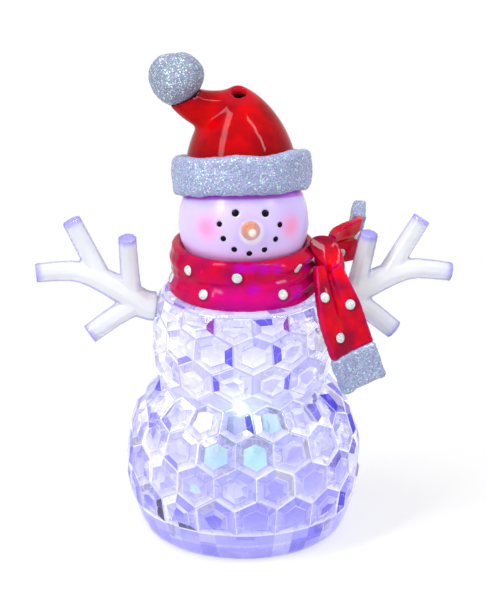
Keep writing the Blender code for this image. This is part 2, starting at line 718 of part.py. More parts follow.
def ribbon(name, stops, across, start, end, thickness, material):
    """Part of a scarf tail between two shares of its length, with a soft fold down the middle."""
    route = [point for point, _ in smooth_route([(stop, 1.0) for stop in stops], 6)]
    steps = [0.0]
    for before, after in zip(route, route[1:]):
        steps.append(steps[-1] + (after - before).length)
    columns = 6
    rows = max(2, round(9 * (end - start)))
    bm = bmesh.new()
    lines = []
    for row in range(rows + 1):
        share = start + (end - start) * row / rows
        distance = share * steps[-1]
        i = min(sum(step < distance for step in steps), len(steps) - 1)
        i = max(i, 1)
        along = (route[i] - route[i - 1]).normalized()
        place = route[i] + along * (distance - steps[i])
        facing = along.cross(across).normalized()
        side = facing.cross(along).normalized()
        width = TAIL_WIDTH * (0.6 + 0.4 * min(1.0, 2.6 * share))
        line = []
        for column in range(columns + 1):
            v = 2 * column / columns - 1
            ridge = 1.3 * (1 - share) * max(0.0, 1 - 3 * abs(v))
            fold = TAIL_FOLD * (ridge - 0.5 * v**2)
            line.append(bm.verts.new(place + side * (v * width / 2) - facing * fold))
        lines.append(line)
    for line, following in zip(lines, lines[1:]):
        for column in range(columns):
            bm.faces.new((line[column], line[column + 1], following[column + 1], following[column]))
    obj = mesh_part(name, bm, material, smooth=True)
    thick = obj.modifiers.new("Thickness", "SOLIDIFY")
    thick.thickness = thickness
    thick.offset = 0.0
    return obj


def make_scarf():
    scarf_ring("scarf_collar", 0.0, RED)
    knot = scarf_knot("scarf_knot", 0.0, RED)
    combine(knot, "DIFFERENCE", scarf_ring("knot_seat", GAP))
    start = knot_place()
    front_stops = [
        start + Vector((-0.7, -3.4, -2.0)) * MM,
        start + Vector((1.5, -9.0, -11.1)) * MM,
        start + Vector((4.0, -10.7, -20.2)) * MM,
        start + Vector((9.6, -12.2, -36.5)) * MM,
    ]
    rear_stops = [
        start + Vector((1.0, 2.0, 0)) * MM,
        start + Vector((2.3, 8.8, 0)) * MM,
        start + Vector((5.9, 12.4, 0.5)) * MM,
        start + Vector((9.4, 14.4, 1.2)) * MM,
        start + Vector((10.9, 16.6, 1.7)) * MM,
        start + Vector((13.2, 30.3, 4.4)) * MM,
    ]
    tails = (
        ("front", front_stops, Vector((0.917, 0.347, 0.194))),
        ("rear", rear_stops, Vector((0.0, -0.3, 1.0))),
    )
    for name, stops, across in tails:
        length = sum((b - a).length for a, b in zip(stops, stops[1:]))
        hem = 1 - HEM_LENGTH / length
        tail = ribbon(f"scarf_{name}_tail", stops, across, 0.0, hem, TAIL_THICKNESS, RED)
        combine(tail, "DIFFERENCE", scarf_knot(f"{name}_tail_root", GAP), scarf_ring(f"{name}_tail_seat", GAP))
        first = hem + GAP / length
        trim = ribbon(f"{name}_tail_hem", stops, across, first, 1.0, HEM_THICKNESS, GLITTER)
        rounded(trim, 0.5 * MM, 1)


def make_screw(name, place, length, material):
    """A pan-head screw that points up, with its head's underside at the given place."""
    screw = turned(
        name,
        [
            (0, length),
            (0.45 * SCREW_RADIUS, length),
            (SCREW_RADIUS, length - 1.2 * MM),
            (SCREW_RADIUS, 0),
            (SCREW_HEAD_RADIUS, 0),
            (SCREW_HEAD_RADIUS, -0.6 * SCREW_HEAD_HEIGHT),
            (0.7 * SCREW_HEAD_RADIUS, -SCREW_HEAD_HEIGHT),
            (0, -SCREW_HEAD_HEIGHT),
        ],
        material, 10,
    )
    screw.location = place
    half = 0.6 * SCREW_HEAD_RADIUS
    low = -SCREW_HEAD_HEIGHT - PROUD
    high = -0.55 * SCREW_HEAD_HEIGHT
    slots = []
    for i, (x, y) in enumerate(((half, SCREW_SLOT / 2), (SCREW_SLOT / 2, half))):
        slot = box(f"{name}_slot_{i}", (-x, -y, low), (x, y, high))
        slot.location = place
        slots.append(slot)
    combine(screw, "DIFFERENCE", *slots)


def door_screw_place():
    return Vector((BOX_LENGTH / 2 + BOX_WALL + DOOR_EAR / 2, BOX_MIDDLE, DOOR_TOP - 0.5 * MM))


def make_base():
    half_length = BOX_LENGTH / 2
    half_width = BOX_WIDTH / 2
    plate = turned(
        "base_plate",
        [(0, PLATE_TOP), (PLATE_RADIUS, PLATE_TOP), (PLATE_RADIUS, PLATE_BOTTOM), (0, PLATE_BOTTOM)],
        WHITE, 48,
    )
    overlap = PLATE_TOP - 0.5 * MM
    shell = box(
        "battery_box",
        (-half_length - BOX_WALL, BOX_MIDDLE - half_width - BOX_WALL, overlap),
        (half_length + BOX_WALL, BOX_MIDDLE + half_width + BOX_WALL, BOX_TOP),
    )
    screw = door_screw_place()
    boss_top = (screw.x, screw.y, PLATE_TOP + DOOR_BOSS_HEIGHT)
    boss = rod("door_boss", DOOR_BOSS_RADIUS, (screw.x, screw.y, overlap), boss_top)
    combine(plate, "UNION", shell, boss)
    lap = half_width + DOOR_LAP
    door_end = half_length + BOX_WALL + DOOR_EAR
    recess = box(
        "door_recess",
        (-half_length - DOOR_LAP - GAP, BOX_MIDDLE - lap - GAP, PLATE_BOTTOM - PROUD),
        (door_end + GAP, BOX_MIDDLE + lap + GAP, DOOR_TOP + GAP),
    )
    cavity = box(
        "battery_cavity",
        (-half_length, BOX_MIDDLE - half_width, PLATE_BOTTOM),
        (half_length, BOX_MIDDLE + half_width, BOX_CEILING),
    )
    pilot = rod(
        "door_pilot", SCREW_RADIUS + GAP, (screw.x, screw.y, PLATE_BOTTOM),
        (screw.x, screw.y, PLATE_TOP + DOOR_BOSS_HEIGHT + PROUD), steps=12,
    )
    slot_half = (KNOB_LENGTH + SWITCH_TRAVEL) / 2 + GAP
    slot = box(
        "switch_slot",
        (-slot_half, SWITCH_MIDDLE - KNOB_WIDTH / 2 - GAP, PLATE_BOTTOM - PROUD),
        (slot_half, SWITCH_MIDDLE + KNOB_WIDTH / 2 + GAP, PLATE_TOP + PROUD),
    )
    vents = []
    for side in (-1, 1):
        x = side * (half_length - GAP - CONTACT_THICKNESS / 2)
        reach = CONTACT_THICKNESS / 2 + GAP
        vents.append(box(
            f"contact_slot_{side}",
            (x - reach, BOX_MIDDLE - 1.5 * MM - GAP, BOX_CEILING - PROUD),
            (x + reach, BOX_MIDDLE + 1.5 * MM + GAP, BOX_TOP + PROUD),
        ))
    holes = []
    for i, place in enumerate(base_screw_places()):
        seat = SCREW_HEAD_HEIGHT - 0.4 * MM
        hole = turned(
            f"plate_hole_{i}",
            [
                (0, PLATE_THICKNESS + PROUD),
                (SCREW_RADIUS + GAP, PLATE_THICKNESS + PROUD),
                (SCREW_RADIUS + GAP, seat + GAP),
                (SCREW_HEAD_RADIUS + GAP, seat + GAP),
                (SCREW_HEAD_RADIUS + GAP, -PROUD),
                (0, -PROUD),
            ],
            None, SMALL_STEPS,
        )
        hole.location = place
        holes.append(hole)
        make_screw(f"base_screw_{i + 1}", place + Vector((0, 0, seat)), SCREW_LENGTH, STEEL)
    combine(plate, "DIFFERENCE", recess, cavity, pilot, slot, *vents, *holes)
    door = box(
        "battery_door",
        (-half_length - DOOR_LAP, BOX_MIDDLE - lap, PLATE_BOTTOM),
        (door_end, BOX_MIDDLE + lap, DOOR_TOP),
        WHITE,
    )
    sink_low = (screw.x, screw.y, PLATE_BOTTOM - PROUD)
    sink = rod("door_sink", SCREW_HEAD_RADIUS + GAP, sink_low, screw - Vector((0, 0, GAP)))
    past = Vector((0, 0, PROUD))
    way = rod("door_way", SCREW_RADIUS + GAP, screw - past, screw + past, steps=12)
    combine(door, "DIFFERENCE", sink, way)
    make_screw("door_screw", screw - Vector((0, 0, 2 * GAP)), 6.0 * MM, STEEL)


def make_batteries():
    left = -BOX_LENGTH / 2 + GAP
    contact = box(
        "contact_plate",
        (left, BOX_MIDDLE - 4.5 * MM, CELL_MIDDLE - 4.5 * MM),
        (left + CONTACT_THICKNESS, BOX_MIDDLE + 4.5 * MM, CELL_MIDDLE + 4.5 * MM),
        STEEL,
    )
    tab = box(
        "contact_tab",
        (left, BOX_MIDDLE - 1.5 * MM, CELL_MIDDLE),
        (left + CONTACT_THICKNESS, BOX_MIDDLE + 1.5 * MM, BOX_TOP + 1.6 * MM),
    )
    combine(contact, "UNION", tab)
    first = left + CONTACT_THICKNESS + GAP
    for i in range(CELL_COUNT):
        cell = turned(
            f"battery_cell_{i + 1}",
            [
                (0, CELL_LENGTH),
                (0.74 * CELL_RADIUS, CELL_LENGTH),
                (0.78 * CELL_RADIUS, 0.86 * CELL_LENGTH),
                (0.95 * CELL_RADIUS, 0.86 * CELL_LENGTH),
                (CELL_RADIUS, 0.8 * CELL_LENGTH),
                (CELL_RADIUS, 0.06 * CELL_LENGTH),
                (0.94 * CELL_RADIUS, 0),
                (0, 0),
            ],
            STEEL, 18,
        )
        cell.location = (first + i * (CELL_LENGTH + GAP), BOX_MIDDLE, CELL_MIDDLE)
        cell.rotation_euler = (0, math.pi / 2, 0)
    wire = CONTACT_THICKNESS / 2
    base = BOX_LENGTH / 2 - GAP - wire
    tip = first + CELL_COUNT * (CELL_LENGTH + GAP) + wire
    turns = 3
    points = 8
    route = []
    for i in range(turns * points + 1):
        share = i / (turns * points)
        radius = (2.4 + 2.1 * share) * MM
        angle = 2 * math.pi * i / points
        across = BOX_MIDDLE + radius * math.sin(angle)
        place = (tip + (base - tip) * share, across, CELL_MIDDLE + radius * math.cos(angle))
        route.append((Vector(place), 1.0))
    route.append((Vector((base, BOX_MIDDLE, BOX_TOP + 1.6 * MM)), 1.0))
    tube("contact_spring", route, wire, STEEL, 1)


def make_switch():
    floor = PLATE_TOP + GAP
    room = (SLIDER_LENGTH + SWITCH_TRAVEL) / 2 + GAP
    depth = SLIDER_WIDTH / 2 + GAP
    housing = box(
        "switch_housing",
        (-room - SWITCH_WALL, SWITCH_MIDDLE - depth - SWITCH_WALL, floor),
        (room + SWITCH_WALL, SWITCH_MIDDLE + depth + SWITCH_WALL, floor + SWITCH_HEIGHT),
        STEEL,
    )
    hollow = box(
        "switch_hollow",
        (-room, SWITCH_MIDDLE - depth, floor - PROUD),
        (room, SWITCH_MIDDLE + depth, floor + SLIDER_HEIGHT + 2 * GAP),
    )
    combine(housing, "DIFFERENCE", hollow)
    on = SWITCH_TRAVEL / 2
    slider = box(
        "switch_slider",
        (on - SLIDER_LENGTH / 2, SWITCH_MIDDLE - SLIDER_WIDTH / 2, floor + GAP),
        (on + SLIDER_LENGTH / 2, SWITCH_MIDDLE + SLIDER_WIDTH / 2, floor + GAP + SLIDER_HEIGHT),
        BLACK,
    )
    knob = box(
        "switch_knob",
        (on - KNOB_LENGTH / 2, SWITCH_MIDDLE - KNOB_WIDTH / 2, KNOB_BOTTOM),
        (on + KNOB_LENGTH / 2, SWITCH_MIDDLE + KNOB_WIDTH / 2, floor + 2 * GAP + 0.5 * MM),
    )
    combine(slider, "UNION", knob)
    return floor + SWITCH_HEIGHT


def make_light():
    near = -BOARD_WIDTH / 4
    box(
        "circuit_board",
        (-BOARD_LENGTH / 2, near, BOARD_BOTTOM),
        (BOARD_LENGTH / 2, near + BOARD_WIDTH, BOARD_TOP),
        GREEN,
    )
    low = BOARD_TOP + GAP
    turned(
        "led_spacer",
        [
            (SPACER_RADIUS, low + SPACER_HEIGHT),
            (SPACER_RADIUS, low),
            (SPACER_BORE, low),
            (SPACER_BORE, low + SPACER_HEIGHT),
        ],
        WHITE, SMALL_STEPS, closed=True,
    )
    dome = LAMP_BOTTOM + LAMP_HEIGHT - LAMP_RADIUS
    flange = LAMP_BOTTOM + 1.0 * MM
    lamp = arc(0, dome, LAMP_RADIUS, 90, 0, 5)
    lamp += [
        (LAMP_RADIUS, flange),
        (LAMP_FLANGE_RADIUS, flange),
        (LAMP_FLANGE_RADIUS, LAMP_BOTTOM),
        (0, LAMP_BOTTOM),
    ]
    turned("led_lamp", lamp, LAMP, SMALL_STEPS)
    for name, side in (("led_lead_plus", -1), ("led_lead_minus", 1)):
        x = side * LEAD_PITCH / 2
        rod(name, LEAD_RADIUS, (x, 0, low), (x, 0, LAMP_BOTTOM - GAP), STEEL, 8)
    height = low + RESISTOR_RADIUS
    y = near + 0.8 * BOARD_WIDTH
    half = RESISTOR_LENGTH / 2
    resistor = rod("resistor", RESISTOR_RADIUS, (-half, y, height), (half, y, height), TAN, 12)
    rounded(resistor, 0.3 * MM, 1)


def make_wires(switch_top):
    """Leads between the contacts, the switch and the board."""
    tab_top = BOX_TOP + 1.6 * MM + GAP + WIRE_RADIUS
    plus = -BOX_LENGTH / 2 + GAP + CONTACT_THICKNESS / 2
    minus = -plus
    lift = 1.5 * GAP + WIRE_RADIUS
    board = BOARD_TOP + lift
    switch = switch_top + lift
    front = SWITCH_MIDDLE + 1.0 * MM
    routes = {
        "wire_plus": (RED, [
            (plus, BOX_MIDDLE + 1 * MM, tab_top),
            (plus, BOX_MIDDLE - 4 * MM, tab_top),
            (plus - 0.6 * MM, BOX_MIDDLE - 9.5 * MM, tab_top - 2 * MM),
            (plus + 1 * MM, front + 2 * MM, switch + 2 * MM),
            (plus + 5 * MM, front, switch),
            (plus + 7 * MM, front, switch),
        ]),
        "wire_minus": (BLACK, [
            (minus, BOX_MIDDLE + 1 * MM, tab_top),
            (minus, BOX_MIDDLE - 2 * MM, tab_top),
            (minus - 1 * MM, BOX_MIDDLE - 4 * MM, board),
            (minus - 4 * MM, BOX_MIDDLE - 5 * MM, board),
            (minus - 6 * MM, BOX_MIDDLE - 5 * MM, board),
        ]),
        "wire_switched": (YELLOW, [
            (2 * MM, front, switch),
            (5 * MM, front, switch),
            (6.4 * MM, front + 3 * MM, switch + 3.5 * MM),
            (5.5 * MM, -BOARD_WIDTH / 4 - 1.4 * MM, board - 1 * MM),
            (5 * MM, -BOARD_WIDTH / 4 + 1.2 * MM, board),
            (5 * MM, -BOARD_WIDTH / 4 + 3 * MM, board),
        ]),
    }
    for name, (material, stops) in routes.items():
        route = smooth_route([(Vector(stop), 1.0) for stop in stops], 3)
        tube(name, route, WIRE_RADIUS, material)


clear_scene()
PARTS = new_collection("light_up_snowman")
TOOLS = new_collection("cutters")
CLEAR = new_material("clear_acrylic", (0.86, 0.85, 0.98), 0.04, transmission=1.0)
PEARL = new_material("pearl_plastic", (0.86, 0.83, 0.95), 0.25)
RED = new_material("red_acrylic", (0.75, 0.0, 0.03), 0.08, transmission=0.6)
GLITTER = new_material("silver_glitter", (0.55, 0.57, 0.68), 0.45, metallic=0.3)
ORANGE = new_material("nose_orange", (0.75, 0.38, 0.16), 0.35)
WHITE = new_material("white_plastic", (0.85, 0.85, 0.84), 0.4)
BLACK = new_material("black_plastic", (0.02, 0.02, 0.02), 0.4)
STEEL = new_material("plated_steel", (0.62, 0.62, 0.64), 0.25, metallic=1.0)
GREEN = new_material("circuit_green", (0.02, 0.25, 0.09), 0.4)
LAMP = new_material("lamp_epoxy", (0.9, 0.94, 1.0), 0.1, transmission=0.8)
TAN = new_material("resistor_tan", (0.72, 0.58, 0.38), 0.5)
YELLOW = new_material("yellow_sleeve", (0.85, 0.68, 0.08), 0.4)

for arm_side, (arm_seat, arm_out) in make_body().items():
    make_arm("arm_left" if arm_side < 0 else "arm_right", arm_side, arm_seat, arm_out)
make_head()
make_hat()
make_scarf()
make_base()
make_batteries()
make_wires(make_switch())
make_light()
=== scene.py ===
"""Looks for the tabletop light-up snowman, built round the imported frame."""

from math import atan2, copysign, cos, degrees, exp, floor, pi, radians, sin, sqrt

import bmesh
import bpy
import numpy as np
from bmesh.types import BMEdge, BMFace, BMVert
from mathutils import Matrix, Quaternion, Vector, noise
from mathutils.bvhtree import BVHTree


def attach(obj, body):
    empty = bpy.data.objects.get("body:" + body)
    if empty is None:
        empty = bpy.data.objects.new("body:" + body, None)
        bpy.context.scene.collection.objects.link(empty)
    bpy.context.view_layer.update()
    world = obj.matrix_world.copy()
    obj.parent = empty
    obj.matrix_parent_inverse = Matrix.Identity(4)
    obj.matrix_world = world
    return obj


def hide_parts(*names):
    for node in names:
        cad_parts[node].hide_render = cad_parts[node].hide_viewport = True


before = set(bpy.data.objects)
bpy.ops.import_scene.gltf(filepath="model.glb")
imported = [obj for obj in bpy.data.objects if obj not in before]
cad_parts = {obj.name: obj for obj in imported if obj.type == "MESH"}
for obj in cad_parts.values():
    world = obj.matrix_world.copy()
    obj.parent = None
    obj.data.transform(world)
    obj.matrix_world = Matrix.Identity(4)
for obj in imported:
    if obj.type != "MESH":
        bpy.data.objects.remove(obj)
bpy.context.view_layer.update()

# Lengths are in metres; the listed angles are in degrees from the front towards +X
MM = 0.001
VOXEL = 0.4 * MM
TRIM_SWELLING = 0.25 * MM

# Body outline, as radii and heights
FOOT_RADIUS = 0.0298
BALL_RADIUS = 0.0348
BALL_MIDDLE = 0.020
WAIST_RADIUS = 0.0246
WAIST_HEIGHT = 0.0456
TORSO_RADIUS = 0.0269
TORSO_MIDDLE = 0.0605
SHOULDER_RADIUS = 0.0244
SHOULDER_HEIGHT = 0.0757
NECK_STEP = 0.0837
NECK_TOP = 0.088
PLATE_RECESS = 0.0043
BORE_TOP = 0.0885
FOOT_ROUND = [(0.0294, 0.0007), (0.0290, 0.0002), (0.0285, 0.0)]
BORE_OUTLINE = [
    (0.02551, 0.0), (0.02551, PLATE_RECESS), (0.02051, PLATE_RECESS),
    (0.016, WAIST_HEIGHT), (0.0095, SHOULDER_HEIGHT), (0.0095, NECK_TOP),
]
NECK_OUTLINE = [
    (0.0237, SHOULDER_HEIGHT), (0.015, SHOULDER_HEIGHT),
    (0.015, NECK_STEP), (0.0115, NECK_STEP), (0.0115, NECK_TOP),
]

# Honeycomb
BALL_COLUMNS = 18
BALL_HEIGHTS = [z * MM for z in (9.9, 19.9, 29.99, 39.54, 46.6)]
TORSO_COLUMNS = 14
TORSO_HEIGHTS = [z * MM for z in (50.2, 59.4, 68.6, 75.0)]
TORSO_FOOT = TORSO_HEIGHTS[0]
BAND_HEIGHTS = [z * MM for z in (8.2, 6.4, 4.6, 2.8, 1.6)]
CORNER_STRAY = 0.7 * MM
STRAY_SCALE = 300.0
SLOPE_WIDTH = 2.2 * MM
FACET_RAISE = 1.0 * MM
FACET_LEAN = 0.07
GROOVE_WIDTH = 0.3 * MM
OUTLINE_WIDTH = 0.22 * MM
STEEP = 0.45
PATCH_SHARE = 0.62
SHARP_ANGLE = radians(40)
FLAT, UNDER, OVER, BESIDE, GROOVE, LINE, BAND, SEAM, BORE = range(1, 10)
SLOPES = (UNDER, OVER, BESIDE)

# Lamp light in the body, by angle and height, with a level for the cyan facets
BRIGHTEST_CYAN = 2.2
CYAN_FACETS = ((0, 0.0346, BRIGHTEST_CYAN), (-20, 0.0346, 1.2), (10, 0.0428, 1.2))
CYAN_REACH = 4 * MM
BLUE_SLOPES = ((-15.5, 0.0640), (15.5, 0.0640), (-23.0, 0.0545), (23.0, 0.0545))
MAGENTA_SLOPES = ((23.0, 0.0715), (-28.4, 0.0715))
SLOPE_REACH = 1.6 * MM
LAMP_IMAGES = (-8, 112, 232)
LAMP_IMAGE_HEIGHT = 0.0468
LAMP_CLEARING = Vector((0.0, 0.0, 0.034))

# Arms
ARM_CUT = 0.0228
TIP_AREA = 15e-6
TIP_REACH = 0.042
TIP_HEIGHT = 0.09

# Head and face; places on the face are from the head's centre
HEAD_CENTRE = Vector((0, 0, 0.09705))
HEAD_RADIUS = 0.0194
EYE_SPREAD = 0.0044
EYE_HEIGHT = 0.0084
EYE_RADIUS = 0.00115
MOUTH_DOTS = 7
MOUTH_SPREAD = 0.0089
MOUTH_TOP = 0.0048
MOUTH_DROP = 0.0082
MOUTH_DOT_RADIUS = 0.0009
FACE_ROLL = radians(2.4)
FACE_MIDDLE = 0.0033
FACE_SINK = 0.0005
DENT_DEPTH = 0.42
DENT_WIDTH = 1.25
CHEEK_SPREAD = 0.0124
NOSE_LENGTH = 0.006
NOSE_RADIUS = 0.0028
NOSE_GAP = 0.0003

# Hat
HAT_LEAN = radians(14.5)
HAT_AXIS = Vector((0.0, sin(HAT_LEAN), cos(HAT_LEAN)))
HAT_HOLE = Vector((-0.0008, 0.0058, 0.1355))
POMPOM_CENTRE = Vector((-0.0191, 0.0059, 0.1396))

# Scarf
NECK_RADIUS = 0.0225
KNOT_CENTRE = Vector((0.0241, -0.0083, 0.0883))
DOT_RADIUS = 0.0015
DOT_SIDES = 20
UPPER_DOTS = (-152, -103, -54, -11, 42, 112, 160)
LOWER_DOTS = (-130, -86, -38, 25, 92, 138, 183)
# Violet glints of the lamp's light painted on the collar, by angle and height
VIOLET_GLINTS = (
    (-9, 0.0896), (1, 0.0905), (11, 0.0894), (21, 0.0888), (2, 0.0832),
    (38, 0.0795), (52, 0.087), (-122, 0.088), (128, 0.083),
)
COLLAR_MIDDLE = 0.0835
COLLAR_INSIDE = 0.0195
LIP_HEIGHT = 0.0865
LIP_REACH = 2.2 * MM
TAIL_SINK = 2.2 * MM
TAIL_NARROWING = 0.12
TAIL_FOOT = 0.084


def round_axis(radius, angle, z):
    """A point at a radius and an angle in radians round the figure's axis."""
    return Vector((radius * sin(angle), -radius * cos(angle), z))


def round_neck(angle, z):
    """A point near the scarf, at an angle in degrees."""
    return round_axis(NECK_RADIUS, radians(angle), z)


def face_spot(x, z):
    """A point on the front of the head, from its centre."""
    return Vector((x, -sqrt(HEAD_RADIUS**2 - x**2 - z**2), z))


def swell(widest, narrow, share, power=2):
    """The radius of a bulge that is widest at a share of zero and narrow at one."""
    return widest * (1 - (1 - (narrow / widest) ** power) * share**power) ** (1 / power)


def body_radius_at(z):
    if z < BALL_MIDDLE:
        return swell(BALL_RADIUS, FOOT_RADIUS, (BALL_MIDDLE - z) / BALL_MIDDLE)
    if z < WAIST_HEIGHT:
        return swell(BALL_RADIUS, WAIST_RADIUS, (z - BALL_MIDDLE) / (WAIST_HEIGHT - BALL_MIDDLE), 3)
    if z < TORSO_MIDDLE:
        return swell(TORSO_RADIUS, WAIST_RADIUS, (TORSO_MIDDLE - z) / (TORSO_MIDDLE - WAIST_HEIGHT))
    return swell(TORSO_RADIUS, SHOULDER_RADIUS, (z - TORSO_MIDDLE) / (SHOULDER_HEIGHT - TORSO_MIDDLE))


SCARF_DOTS = {
    "scarf_collar": [round_neck(angle, 0.0865) for angle in UPPER_DOTS]
    + [round_neck(angle, 0.0807) for angle in LOWER_DOTS],
    "scarf_front_tail": [(0.022, -0.019, 0.0788), (0.0297, -0.0181, 0.076), (0.0265, -0.0212, 0.0668)],
    "scarf_rear_tail": [(0.035, 0.0073, 0.0892), (0.0298, 0.0034, 0.0845)],
}


# Shader helpers

def rgb(r, g, b):
    """A colour given as screen values from 0 to 255."""
    def line(c):
        c /= 255
        return c / 12.92 if c <= 0.04045 else ((c + 0.055) / 1.055) ** 2.4
    return (line(r), line(g), line(b), 1.0)


def grey(level):
    return (level, level, level, 1.0)


def lit(colour, level):
    """A colour at a level of its brightness."""
    return (*(c * level for c in colour[:3]), 1.0)


def new_material(name):
    material = bpy.data.materials.new(name)
    material.use_nodes = True
    return material, material.node_tree, material.node_tree.nodes["Principled BSDF"]


def as_material(look):
    """Turns a function that gives a shader's values into one that makes a material."""
    def make(name, *details, **more):
        material, tree, shader = new_material(name)
        feed(tree, shader, look(tree, *details, **more))
        return material
    return make


def add(tree, kind, values=None, **settings):
    """A new node. Each value is set on its socket, or linked if it is a node's output."""
    node = tree.nodes.new("ShaderNode" + kind)
    for key, value in settings.items():
        setattr(node, key, value)
    feed(tree, node, values or {})
    return node


def feed(tree, node, values):
    for key, value in values.items():
        if isinstance(value, bpy.types.NodeSocket):
            tree.links.new(value, node.inputs[key])
        else:
            node.inputs[key].default_value = value


def ramp(tree, fac, stops, interpolation="LINEAR"):
    node = add(tree, "ValToRGB", {"Fac": fac})
    node.color_ramp.interpolation = interpolation
    elements = node.color_ramp.elements
    while len(elements) < len(stops):
        elements.new(0.5)
    for element, (place, colour) in zip(elements, stops):
        element.position = place
        element.color = colour
    return node.outputs["Color"]


def math_node(tree, operation, *values):
    return add(tree, "Math", dict(enumerate(values)), operation=operation).outputs[0]


def vector_node(tree, operation, *values):
    return add(tree, "VectorMath", dict(enumerate(values)), operation=operation)


def mix_colour(tree, fac, a, b, blend="MIX"):
    values = {"Factor": fac, 6: a, 7: b}
    return add(tree, "Mix", values, data_type="RGBA", blend_type=blend).outputs[2]


def tinted(tree, base, colour, mask, amount):
    """The base, turned towards a colour by an amount where the mask is one."""
    return mix_colour(tree, math_node(tree, "MULTIPLY", mask, amount), base, colour)


def place_of(tree):
    return add(tree, "TexCoord").outputs["Object"]


def height_of(tree):
    return add(tree, "SeparateXYZ", {"Vector": place_of(tree)}).outputs["Z"]


def along(tree, axis):
    return vector_node(tree, "DOT_PRODUCT", place_of(tree), axis).outputs["Value"]


def pointiness_of(tree):
    return add(tree, "NewGeometry").outputs["Pointiness"]


def facing_of(tree, blend):
    return add(tree, "LayerWeight", {"Blend": blend}).outputs["Facing"]


def noise_of(tree, scale, detail=2.0, roughness=0.5):
    values = {"Vector": place_of(tree), "Scale": scale, "Detail": detail, "Roughness": roughness}
    return add(tree, "TexNoise", values).outputs["Fac"]


def cells_of(tree, scale):
    """The random colour of each of many small cells."""
    values = {"Vector": place_of(tree), "Scale": scale}
    return add(tree, "TexVoronoi", values).outputs["Color"]


def channel_of(tree, colour, name):
    return add(tree, "SeparateColor", {"Color": colour}).outputs[name]


def bump(tree, height, strength, distance):
    node = add(tree, "Bump", {"Height": height, "Strength": strength, "Distance": distance})
    return node.outputs["Normal"]


def remap(tree, value, start=0.0, stop=1.0, low=0.0, high=1.0, smooth=False):
    """A value that runs from low to high while another runs from start to stop."""
    values = {"Value": value, "From Min": start, "From Max": stop, "To Min": low, "To Max": high}
    kind = "SMOOTHSTEP" if smooth else "LINEAR"
    return add(tree, "MapRange", values, interpolation_type=kind).outputs["Result"]


def soft_spot(tree, spot, inner, outer, ragged=0.0):
    """A mask that is one round a spot and fades out between two radii."""
    away = vector_node(tree, "DISTANCE", place_of(tree), spot).outputs["Value"]
    if ragged:
        away = math_node(tree, "MULTIPLY_ADD", noise_of(tree, 260.0, detail=4.0), ragged, away)
    return remap(tree, away, outer, inner, smooth=True)


def seen_ray(tree):
    """One where a surface is seen, also through clear pieces or in gloss; else zero."""
    path = add(tree, "LightPath")
    seen = math_node(tree, "MAXIMUM", path.outputs["Is Camera Ray"], path.outputs["Is Transmission Ray"])
    return math_node(tree, "MAXIMUM", seen, path.outputs["Is Glossy Ray"])


# Materials

WHITE = rgb(255, 255, 255)
BLACK = grey(0.0)
CYAN = rgb(190, 248, 255)
CYAN_LIGHT = rgb(190, 250, 255)
BLUE_LIGHT = rgb(60, 40, 235)
COLLAR_MAGENTA = rgb(186, 0, 130)
# Light of the painted glint streaks in the body's clear acrylic
GLINT_STREAK_LIGHT = (2.5, 2.5, 2.5, 1.0)
HALO_LIGHT = (0.4, 1.2, 1.5, 1.0)
CORE_LIGHT = (9.0, 9.5, 9.5, 1.0)


def lamp_images(tree, glow):
    """Adds the lamp's core and halo where they show through the waist."""
    for turn in LAMP_IMAGES:
        spot = round_axis(body_radius_at(LAMP_IMAGE_HEIGHT), radians(turn), LAMP_IMAGE_HEIGHT)
        for light, inner, outer in ((HALO_LIGHT, 0.002, 0.0100), (CORE_LIGHT, 0.0008, 0.0042)):
            image = soft_spot(tree, spot, inner, outer, ragged=0.0016)
            glow = mix_colour(tree, image, glow, light, "ADD")
    return glow


@as_material
def clear_body(tree):
    """Clear acrylic with fine painted streaks of glinting and blue light; each facet has its own share of the
    lamp's light.
    """
    tint = add(tree, "VertexColor", layer_name="tint").outputs["Color"]
    light = add(tree, "VertexColor", layer_name="glow")
    streak_share = light.outputs["Alpha"]
    ripple = noise_of(tree, 260.0, detail=3.0)
    # Painted streaks of light: blue ones in the colour, bright glints in the glow
    streak_noise = noise_of(tree, 210.0, detail=1.0)
    blue_light_streak = ramp(tree, streak_noise, [(0.44, BLACK), (0.452, grey(0.75)), (0.47, BLACK)])
    glint_streak = ramp(tree, streak_noise, [(0.545, BLACK), (0.562, grey(1.0)), (0.58, BLACK)])
    glow = tinted(tree, light.outputs["Color"], GLINT_STREAK_LIGHT, glint_streak, streak_share)
    return {
        "Base Color": tinted(tree, tint, rgb(118, 106, 232), blue_light_streak, streak_share),
        "Transmission Weight": 0.8, "IOR": 1.49, "Specular IOR Level": 0.18, "Roughness": 0.02,
        "Emission Color": lamp_images(tree, glow),
        "Emission Strength": 0.1,
        "Normal": bump(tree, ripple, strength=0.3, distance=0.0005),
    }


@as_material
def clear_arm(tree):
    """Clear acrylic: near white in the middle, with painted lavender light at its rims and cut ends, and
    painted lavender shade in its creases.
    """
    tint = add(tree, "VertexColor", layer_name="tint").outputs["Color"]
    rim = facing_of(tree, blend=0.35)
    edge = ramp(tree, rim, [(0.26, WHITE), (0.4, rgb(234, 232, 253)), (0.62, rgb(182, 174, 244))])
    # Painted lavender shade in the creases between twigs
    crease_shade = ramp(tree, pointiness_of(tree), [(0.44, rgb(188, 180, 250)), (0.485, WHITE)])
    edge = mix_colour(tree, 1.0, edge, crease_shade, "MULTIPLY")
    return {
        "Base Color": mix_colour(tree, 1.0, tint, edge, "MULTIPLY"),
        "Transmission Weight": 0.4, "IOR": 1.25, "Roughness": 0.02, "Coat Weight": 0.3,
        "Coat Roughness": 0.03,
        "Normal": bump(tree, noise_of(tree, 150.0), strength=0.2, distance=0.0006),
    }


